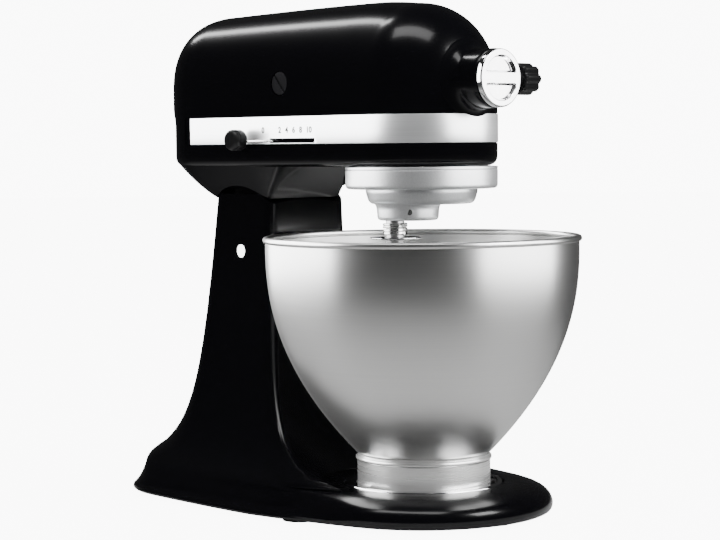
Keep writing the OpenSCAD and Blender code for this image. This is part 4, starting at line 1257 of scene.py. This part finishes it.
@dataclass
class HubFittings:
    """Chrome hub cap with a finger bar and two D-shaped recesses, the thumb screw, and the brush caps."""

    at: Layout
    cap_r: float = 19.7
    proud: float = 5.5
    bar_half: float = 3.6
    dish_r: float = 15.4
    dish_depth: float = 3.0

    def cap(self) -> bpy.types.Object:
        """Cap face: x = face - depth S((15.4-r)/1.4) S((|z|-3.6)/1.2), with S the smooth step, then rim and plug."""
        r = np.concatenate([np.linspace(0, 18.4, 52), [18.9, 19.35, 19.62, 19.7]])[:, None]
        phi = np.linspace(0, 2 * np.pi, 144, endpoint=False)[None]
        y, z = r * np.sin(phi), r * np.cos(phi)
        dish = smooth_step((self.dish_r - r) / 1.4) * smooth_step((np.abs(z) - self.bar_half) / 1.2)
        crown = 0.5 * np.clip(r / self.cap_r, 0, 1) ** 2
        edge = np.interp(r[:, 0], [18.4, 18.9, 19.35, 19.62, 19.7], [0, 0.08, 0.35, 0.8, 1.4])[:, None]
        x = self.at.hub_face + self.proud - self.dish_depth * dish - crown - edge
        face = np.stack([np.broadcast_to(x, y.shape), y, z + self.at.drive_z], -1)
        back = []
        for rad, depth in ((19.7, 1.2), (19.3, 0.7), (18.6, 0.5), (13.7, 0.5), (13.7, -3.2), (0.0, -3.2)):
            back.append(np.stack([np.full(144, self.at.hub_face + depth), rad * np.sin(phi[0]),
                                  rad * np.cos(phi[0]) + self.at.drive_z], -1))
        grid = np.concatenate([face, np.stack(back)])
        cap = add_mesh("hub_cap_face", [(grid.reshape(-1, 3), grid_faces(len(grid), 144, True))])
        return dress(cap, "hub_cover", Slot.CHROME, "hub_cap")

    def knob(self) -> bpy.types.Object:
        """Thumb screw: eight-lobed grip r = R (1 - 0.15 ((1 - cos 8a)/2)^1.6), a collar and a plain shank."""
        a = np.linspace(0, 2 * np.pi, 160, endpoint=False)
        lobe_count, lobe_depth, lobe_power = 8, 0.15, 1.6
        lobes = 1 - lobe_depth * ((1 - np.cos(lobe_count * a)) / 2) ** lobe_power
        rows = []
        for r, y, lobed in ((0, 45, 0), (6.4, 45, 0), (7.2, 44.3, 0), (8.6, 44.6, 1), (10.2, 44.2, 1), (10.9, 43, 1),
                            (11, 41, 1), (11, 33, 1), (10.7, 31.2, 1), (9.6, 30.3, 0.6), (6.5, 30, 0), (6.5, 21.4, 0),
                            (6.1, 20.8, 0), (3, 20.8, 0), (3, 13.6, 0), (0, 13.6, 0)):
            rad = r * (1 + lobed * (lobes - 1))
            rows.append(np.stack([self.at.bowl_x + 62 + rad * np.cos(a), np.full(160, float(y)),
                                  self.at.drive_z + rad * np.sin(a)], -1))
        grid = np.stack(rows)
        knob = add_mesh("hub_thumb_screw", [(grid.reshape(-1, 3), grid_faces(len(grid), 160, True))])
        return dress(knob, "hub_screw", Slot.BLACK_PLASTIC, "hub_knob")

    def brush_covers(self) -> bpy.types.Object:
        """Two slotted caps of the motor brushes, one on each side of the head."""
        caps = []
        x, side = self.at.bowl_x - 89, self.at.head_r
        for sign in (-1, 1):
            profile = [(0, side - 4), (8.3, side - 4), (8.3, side - 1.3), (7.9, side - 0.7), (7.2, side - 0.5),
                       (0, side - 0.3)]
            pts, faces = revolved([(r, h * sign) for r, h in profile], (x, 0, self.at.drive_z), "Y", 64)
            cap = add_mesh("brush_part", [(pts, faces)])
            a = math.radians(50 * sign)
            along, across = np.array([math.cos(a), math.sin(a)]), np.array([-math.sin(a), math.cos(a)])
            corners = [p * 10 * along + q * 0.85 * across for p, q in ((-1, -1), (1, -1), (1, 1), (-1, 1))]
            slot = np.array(corners) + [x, self.at.drive_z]
            low, high = sorted((sign * (side - 1.9), sign * (side + 4)))
            carve(cap, [prism(slot, low, high, "Y")])
            caps.append(cap)
        points, faces, start = [], [], 0
        for cap in caps:
            co = np.empty(len(cap.data.vertices) * 3)
            cap.data.vertices.foreach_get("co", co)
            points.append(co.reshape(-1, 3) / MM)
            faces += [[i + start for i in p.vertices] for p in cap.data.polygons]
            start += len(cap.data.vertices)
            data = cap.data
            bpy.data.objects.remove(cap)
            bpy.data.meshes.remove(data)
        both = add_mesh("brush_covers", [(np.concatenate(points), faces)], weld_mm=0.001)
        soften(both, 0.18, 50)
        return dress(both, "head", Slot.CAP_PLASTIC, "brush_caps")

    def build(self) -> None:
        """Builds the cap, the thumb screw and the brush caps."""
        for piece in (self.cap(), self.knob(), self.brush_covers()):
            LOG.info("hub: %s, %d faces", piece.name, len(piece.data.polygons))


@dataclass
class Levers:
    """Speed lever with its knob, and the head's lock lever."""

    at: Layout
    arm_z: float = 260.4
    arm_half: float = 1.2
    arm_thick: float = 0.8

    def bar(self, path: Sequence[tuple[float, float]]) -> tuple[Array, list[list[int]]]:
        """Flat bar along a path in plan: each point moves half a width along the mitre of its two sides."""
        p = np.array(path, float)
        step = np.diff(p, axis=0)
        step /= np.linalg.norm(step, axis=1, keepdims=True)
        side = np.stack([-step[:, 1], step[:, 0]], -1)
        joint = np.vstack([side[:1], (side[1:] + side[:-1]) / 2, side[-1:]])
        joint /= (joint * joint).sum(axis=1, keepdims=True)
        outline = np.vstack([p + joint * self.arm_half, (p - joint * self.arm_half)[::-1]])
        return prism(outline, self.arm_z - self.arm_thick, self.arm_z + self.arm_thick, "Z")

    def speed(self) -> None:
        """Steel arm from its pivot inside the head, bent outside the slot, and the round black knob on its end."""
        bx, side = self.at.bowl_x, self.at.head_r
        pivot = (bx - 75.2, 38.0)
        wall = (bx - 97.4, -side)
        knob = (bx - 125.0, -side - 8)
        arm = add_mesh("speed_arm", [self.bar([pivot, (wall[0] - 1, wall[1] - 3), (knob[0] + 4, knob[1] + 1.2), knob]),
                                     revolved([(0, self.arm_z - 0.8), (8, self.arm_z - 0.8), (8, self.arm_z + 0.8),
                                               (0, self.arm_z + 0.8)], (*pivot, 0), segments=40)])
        soften(arm, 0.3)
        dress(arm, "speed_control", Slot.SCREW, "speed_lever")
        profile = [(0, knob[1] - 8.2), (4.5, knob[1] - 8.1), (6.2, knob[1] - 7.5), (7.1, knob[1] - 6.4),
                   (7.5, knob[1] - 5.0), (7.5, knob[1] - 4.2), (7.15, knob[1] - 3.9), (7.15, knob[1] - 3.2),
                   (7.5, knob[1] - 2.9), (7.5, knob[1] + 1.6), (7.0, knob[1] + 2.8), (5.8, knob[1] + 3.6),
                   (0, knob[1] + 3.9)]
        grip = add_mesh("speed_grip", [revolved(profile, (knob[0], 0, self.arm_z + 1), "Y", 72)])
        dress(grip, "speed_control", Slot.BLACK_PLASTIC, "speed_knob")

    def lock(self) -> None:
        """Lock lever: a tapered arm with a round end on a shaft, and the finger inside the neck."""
        x, z = self.at.bowl_x - 132, 228.0
        y0 = self.at.column_half + 0.7
        a = math.radians(12)
        turn = np.linspace(math.pi / 2, 3 * math.pi / 2, 14)
        hub = np.stack([4.5 * np.cos(turn), 4.5 * np.sin(turn)], -1)
        tip = np.stack([17 + 4.6 * np.cos(turn + math.pi), 4.6 * np.sin(turn + math.pi)], -1)
        waist = np.array([[5.0, -3.0], [9, -2.8], [13, -3.4]])
        flat = np.vstack([hub, waist, tip, (waist * [1, -1])[::-1]])
        c, s = math.cos(a), math.sin(a)
        flat = np.stack([x + flat[:, 0] * c - flat[:, 1] * s, z + flat[:, 0] * s + flat[:, 1] * c], -1)
        paddle = add_mesh("lock_paddle", [prism(flat, y0, y0 + 4, "Y")])
        soften(paddle, 0.9)
        dress(paddle, "lock", Slot.BLACK_PLASTIC, "lock_lever")
        finger = add_mesh("lock_finger", [revolved([(0, 9), (3, 9), (3, y0 + 0.5), (0, y0 + 0.5)], (x, 0, z), "Y", 32),
                                          prism(rectangle(x - 2.5, x, z - 15, z + 1), 9, 21, "Y"),
                                          prism(rectangle(x - 2.5, x + 2.5, z - 19, z - 14.8), 9, 21, "Y")], 0.0001)
        dress(finger, "lock", Slot.SCREW)

    def build(self) -> None:
        """Builds both levers."""
        self.speed()
        self.lock()
        LOG.info("levers built")


# ---------- bowl ----------


@dataclass
class Bowl:
    """Spun bowl with a rolled rim, its foot ring with three lugs, and the clamp plate under it."""

    at: Layout
    wall: float = 1.2
    foot_r: float = 46.5
    foot_z: float = 16.8
    seat_r: float = 47.5
    floor_z: float = 44.0
    rim_r: float = 2.2

    def outer(self, z: Array) -> Array:
        """Outside radius: 109.2 - 61.7 (max(0, 185-z)/141)^2.2 for the stock sizes."""
        wide = self.at.bowl_r - 1.8
        high = self.at.bowl_top - 9
        return wide - (wide - self.seat_r) * (np.maximum(0, high - z) / (high - self.floor_z)) ** 2.2

    def bowl(self) -> bpy.types.Object:
        """Outside, rolled rim and inside of the bowl as one closed turned skin."""
        z = np.linspace(self.floor_z, self.at.bowl_top - 3.4, 70)
        r = self.outer(z)
        curl = np.radians(np.linspace(-140, 200, 26))
        rim = [(self.at.bowl_r - self.rim_r + self.rim_r * math.cos(t), self.at.bowl_top - self.rim_r
                + self.rim_r * math.sin(t)) for t in curl]
        inside = [(rad - self.wall, h) for rad, h in zip(r[::-1], z[::-1]) if h > self.floor_z + 4.5]
        floor = [(43.5, self.floor_z + 2.2), (40.5, self.floor_z + 0.7), (36.0, self.floor_z + 0.2),
                 (0.0, self.floor_z + 0.2)]
        profile = ([(0.0, self.floor_z - 1), (44.4, self.floor_z - 1), (46.2, self.floor_z - 0.6)]
                   + list(zip(r.tolist(), z.tolist())) + rim + inside + floor)
        bowl = add_mesh("bowl_shell", [revolved(profile, (self.at.bowl_x, 0, 0), segments=192)])
        return dress(bowl, "mixing_bowl", Slot.BOWL_STEEL, "bowl")

    def foot(self) -> bpy.types.Object:
        """Foot ring with a rolled bead at its top, and three bayonet lugs."""
        f, z = self.foot_r, self.foot_z
        profile = closed_profile([(f - 1.5, z, 0.3), (f, z, 0.5), (f, 37.6, 0.4), (f + 0.2, 38.0, 0.3),
                                  (f + 1.0, 38.6, 0.7), (f + 1.0, 40.4, 0.7), (f + 0.1, 41.2, 0.4),
                                  (f - 1.5, 43.4, 0.3)], 7)
        parts = [revolved(profile, (self.at.bowl_x, 0, 0), segments=144)]
        steps = 24
        for k in range(3):
            a = np.radians(np.linspace(120 * k + 72, 120 * k + 108, steps))
            section = np.array([(f - 0.6, z), (f + 3.6, z), (f + 4, z + 0.4), (f + 4, z + 2.6), (f + 3.6, z + 3),
                                (f - 0.6, z + 3)])
            corners = len(section)
            grid = np.stack([self.at.bowl_x + section[:, 0][None] * np.cos(a)[:, None],
                             section[:, 0][None] * np.sin(a)[:, None],
                             np.broadcast_to(section[:, 1], (steps, corners))], -1)
            ends = [list(range(corners))[::-1], list(range((steps - 1) * corners, steps * corners))]
            faces = grid_faces(steps, corners, True).tolist() + ends
            parts.append((grid.reshape(-1, 3), faces))
        return dress(add_mesh("bowl_foot_ring", parts, 0.001), "mixing_bowl", Slot.FOOT_STEEL, "bowl_foot")

    def plate(self) -> bpy.types.Object:
        """Clamp plate: a dished disc whose raised rim is turned in over the lugs, with gaps for them to enter."""
        z, f = self.foot_z - 2.8, self.foot_r
        top = self.foot_z + 5.7
        disc = closed_profile([(14, z, 0.2), (f + 8.3, z, 0.8), (f + 8.5, z + 1.0, 0.4), (f + 8.5, top, 1.6),
                               (f + 5.0, top, 0.2), (f + 5.0, z + 2.4, 0.8), (14, z + 2.4, 0.4)], 6)
        parts = [revolved(disc, (self.at.bowl_x, 0, 0), segments=144)]
        lip = closed_profile([(f + 0.6, top - 2, 0.3), (f + 6.5, top - 2, 0.1), (f + 6.5, top - 0.02, 0.1),
                              (f + 1.4, top - 0.02, 0.8), (f + 0.6, top - 0.8, 0.3)], 5)
        for k in range(3):
            pts, faces = revolved(lip, (self.at.bowl_x, 0, 0), segments=60, sweep=(120 * k + 62, 120 * k + 140))
            n = len(lip)
            ends = [[i * 60 for i in range(n - 1)], [i * 60 + 59 for i in range(n - 1)][::-1]]
            parts.append((pts, faces.tolist() + ends))
        return dress(add_mesh("clamp_plate", parts, 0.0005), "stand", Slot.CHROME, "bowl_clamp_plate")

    def build(self) -> None:
        """Builds the bowl, its foot and the clamp plate."""
        for piece in (self.bowl(), self.foot(), self.plate()):
            LOG.info("bowl: %s, %d faces", piece.name, len(piece.data.polygons))


# ---------- studio ----------


@dataclass
class Studio:
    """Pale floor, soft lights and the camera."""

    place: Vec3 = (1.0907, -1.0278, 0.2586)
    azimuth: float = 46.6
    pitch: float = -3.49
    roll: float = -0.57
    lens: float = 104.25
    floor_colour: Vec3 = (0.55, 0.55, 0.55)
    # painted pool of light on the floor as gloss sees it: lit colour near the origin, painted shade beyond, faded over
    # these distances in metres
    painted_pool_lit: Vec3 = (0.6, 0.6, 0.6)
    painted_pool_shade: Vec3 = (0.05, 0.05, 0.05)
    painted_pool_fade: tuple[float, float] = (0.15, 0.6)
    metal: bpy.types.Collection = field(default_factory=lambda: bpy.data.collections.new("metal_pieces"))
    head: bpy.types.Collection = field(default_factory=lambda: bpy.data.collections.new("head_pieces"))
    seen: float = 10.0
    floor_lift: float = 9.2
    ambient: float = 1.0
    mirrored: float = 0.035
    lights: tuple[tuple[str, Vec3, Vec3, tuple[float, float], float, str], ...] = (
        ("left_panel", (-1.026, -0.583, 0.6), (0.0, 0.0, 0.45), (2.2, 1.4), 110.0, "metal"),
        ("right_panel", (1.046, 0.547, 0.6), (0.0, 0.0, 0.45), (1.5, 1.4), 62.0, "metal"),
        ("crown_panel", (-1.45, -0.02, 1.62), (-0.05, -0.02, 0.33), (0.22, 1.0), 10.0, "head"),
        ("nose_panel", (1.5, 0.5, 1.35), (0.05, 0.0, 0.3), (0.7, 0.5), 16.0, "all"),
        ("top_panel", (0.2, -0.5, 1.9), (0.0, 0.0, 0.2), (1.5, 0.5), 12.0, "all"))

    def camera(self) -> None:
        """Camera turned by its azimuth about Z, then pitch, then roll about its own axis."""
        data = bpy.data.cameras.new("view_camera")
        data.lens, data.sensor_width = self.lens, 36.0
        data.clip_start, data.clip_end = 0.05, 30.0
        cam = bpy.data.objects.new("view_camera", data)
        turn = (Matrix.Rotation(math.radians(self.azimuth), 4, "Z")
                @ Matrix.Rotation(math.radians(90 + self.pitch), 4, "X")
                @ Matrix.Rotation(math.radians(self.roll), 4, "Z"))
        cam.matrix_world = Matrix.Translation(self.place) @ turn
        bpy.context.scene.collection.objects.link(cam)
        bpy.context.scene.camera = cam

    def floor(self) -> None:
        """Flat floor disc with a very faint mottled white; to gloss rays it shows a painted pool of light, bright near
        the mixer and painted dark further out.
        """
        a = np.linspace(0, 2 * np.pi, 96, endpoint=False)
        rim = np.stack([9000 * np.cos(a), 9000 * np.sin(a), 0 * a - 0.2], -1)
        floor = add_mesh("studio_floor", [(rim, [list(range(96))])])
        pale = Finish(self.floor_colour, 0.7, spread=0.04, grain=30.0, bump=0.0).material("pale_floor")
        tree = pale.node_tree
        path = tree.nodes.new("ShaderNodeLightPath")
        lift = tree.nodes.new("ShaderNodeMath")
        lift.operation = "MULTIPLY"
        lift.inputs[1].default_value = self.floor_lift
        tree.links.new(path.outputs["Is Camera Ray"], lift.inputs[0])
        shader = tree.nodes["Principled BSDF"]
        # gloss rays see the painted pool of light instead of the floor's own colour
        dim = tree.nodes.new("ShaderNodeMix")
        dim.data_type = "RGBA"
        tree.links.new(path.outputs["Is Glossy Ray"], dim.inputs["Factor"])
        tree.links.new(shader.inputs["Base Color"].links[0].from_socket, dim.inputs["A"])
        where = tree.nodes.new("ShaderNodeTexCoord")
        length = tree.nodes.new("ShaderNodeVectorMath")
        length.operation = "LENGTH"
        tree.links.new(where.outputs["Object"], length.inputs[0])
        # painted pool of light: lit colour out to 0.15 m from the origin, fading to painted shade by 0.6 m
        fade = tree.nodes.new("ShaderNodeMapRange")
        fade.inputs["From Min"].default_value, fade.inputs["From Max"].default_value = self.painted_pool_fade
        tree.links.new(length.outputs["Value"], fade.inputs["Value"])
        seen = tree.nodes.new("ShaderNodeMix")
        seen.data_type = "RGBA"
        tree.links.new(fade.outputs["Result"], seen.inputs["Factor"])
        seen.inputs["A"].default_value = (*self.painted_pool_lit, 1)
        seen.inputs["B"].default_value = (*self.painted_pool_shade, 1)
        tree.links.new(seen.outputs["Result"], dim.inputs["B"])
        tree.links.new(dim.outputs["Result"], shader.inputs["Base Color"])
        shader.inputs["Emission Color"].default_value = (1, 1, 1, 1)
        tree.links.new(lift.outputs[0], shader.inputs["Emission Strength"])
        floor.data.materials.append(pale)

    def world(self) -> None:
        """World light: white where the camera sees it, soft where it lights, and dim where gloss reflects it."""
        world = bpy.data.worlds.new("studio_world")
        world.use_nodes = True
        tree = world.node_tree
        back = tree.nodes["Background"]
        back.inputs["Color"].default_value = (1, 1, 1, 1)
        path = tree.nodes.new("ShaderNodeLightPath")
        strength: bpy.types.NodeSocket | None = None
        for output, value in (("Is Camera Ray", self.seen), ("Is Glossy Ray", self.mirrored)):
            mix = tree.nodes.new("ShaderNodeMix")
            mix.inputs["A"].default_value = self.ambient
            mix.inputs["B"].default_value = value
            tree.links.new(path.outputs[output], mix.inputs["Factor"])
            if strength is not None:
                tree.links.new(strength, mix.inputs["A"])
            strength = mix.outputs["Result"]
        tree.links.new(strength, back.inputs["Strength"])
        bpy.context.scene.world = world

    def build(self) -> None:
        """Builds the studio."""
        self.world()
        receivers = {"metal": self.metal, "head": self.head, "all": None}
        for name, place, aim, size, power, lit in self.lights:
            data = bpy.data.lights.new(name, "AREA")
            data.shape, data.size, data.size_y, data.energy = "RECTANGLE", size[0], size[1], power
            lamp = bpy.data.objects.new(name, data)
            lamp.location = place
            lamp.rotation_euler = (Vector(aim) - Vector(place)).to_track_quat("-Z", "Y").to_euler()
            lamp.visible_camera = False
            if receivers[lit] is not None:
                lamp.light_linking.receiver_collection = receivers[lit]
            bpy.context.scene.collection.objects.link(lamp)
        self.floor()
        self.camera()


# ---------- whole mixer ----------


def finish_all(frame: dict, made: Iterable[bpy.types.Object], materials: dict[Slot, bpy.types.Material],
               studio: Studio) -> None:
    """Gives every new piece and every CAD node the material of its slot, and smooths the new pieces.

    Args:
        made: the new pieces.
        materials: materials by slot.
        studio: holds the collections of pieces that some of the panels light.
    """
    dark = (Slot.ENAMEL, Slot.BLACK_PLASTIC, Slot.CAP_PLASTIC, Slot.RUBBER)
    slots = {part["node"]: part["material_slot"] for part in frame["record"]["subparts"]}
    for name, obj in frame["nodes"].items():
        slot = Slot(slots[name])
        material = materials[slot]
        if slot not in dark:
            studio.metal.objects.link(obj)
        for held in obj.material_slots:
            held.material = material
        if not obj.material_slots:
            obj.data.materials.append(material)
    for obj in made:
        if obj.type != "MESH" or obj.name == "studio_floor":
            continue
        slot = Slot(obj["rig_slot"])
        if slot not in dark:
            studio.metal.objects.link(obj)
        if obj.name not in ("base_casting", "column_casting"):
            studio.head.objects.link(obj)
        obj.data.materials.clear()
        obj.data.materials.append(materials[slot])
        obj.data.polygons.foreach_set("use_smooth", [True] * len(obj.data.polygons))
        obj.data.set_sharp_from_angle(angle=SMOOTH_ANGLE)


def main() -> None:
    """Builds the mixer in order."""
    logging.basicConfig(level=logging.INFO, format="%(name)s: %(message)s")
    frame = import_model()
    known = set(bpy.data.objects)
    materials = make_materials()
    at = Layout.read()
    LOG.info("layout %s", at)
    studio = Studio()
    studio.build()
    base = Base(at)
    base.build()
    Column(at, base).build()
    form = HeadForm(at)
    casings = Casings(at, form)
    casings.build()
    TrimBand(at, casings).build()
    Planetary(at).build()
    HubFittings(at).build()
    Levers(at).build()
    Bowl(at).build()
    finish_all(frame, [o for o in bpy.data.objects if o not in known], materials, studio)


if __name__ == "__main__":
    main()
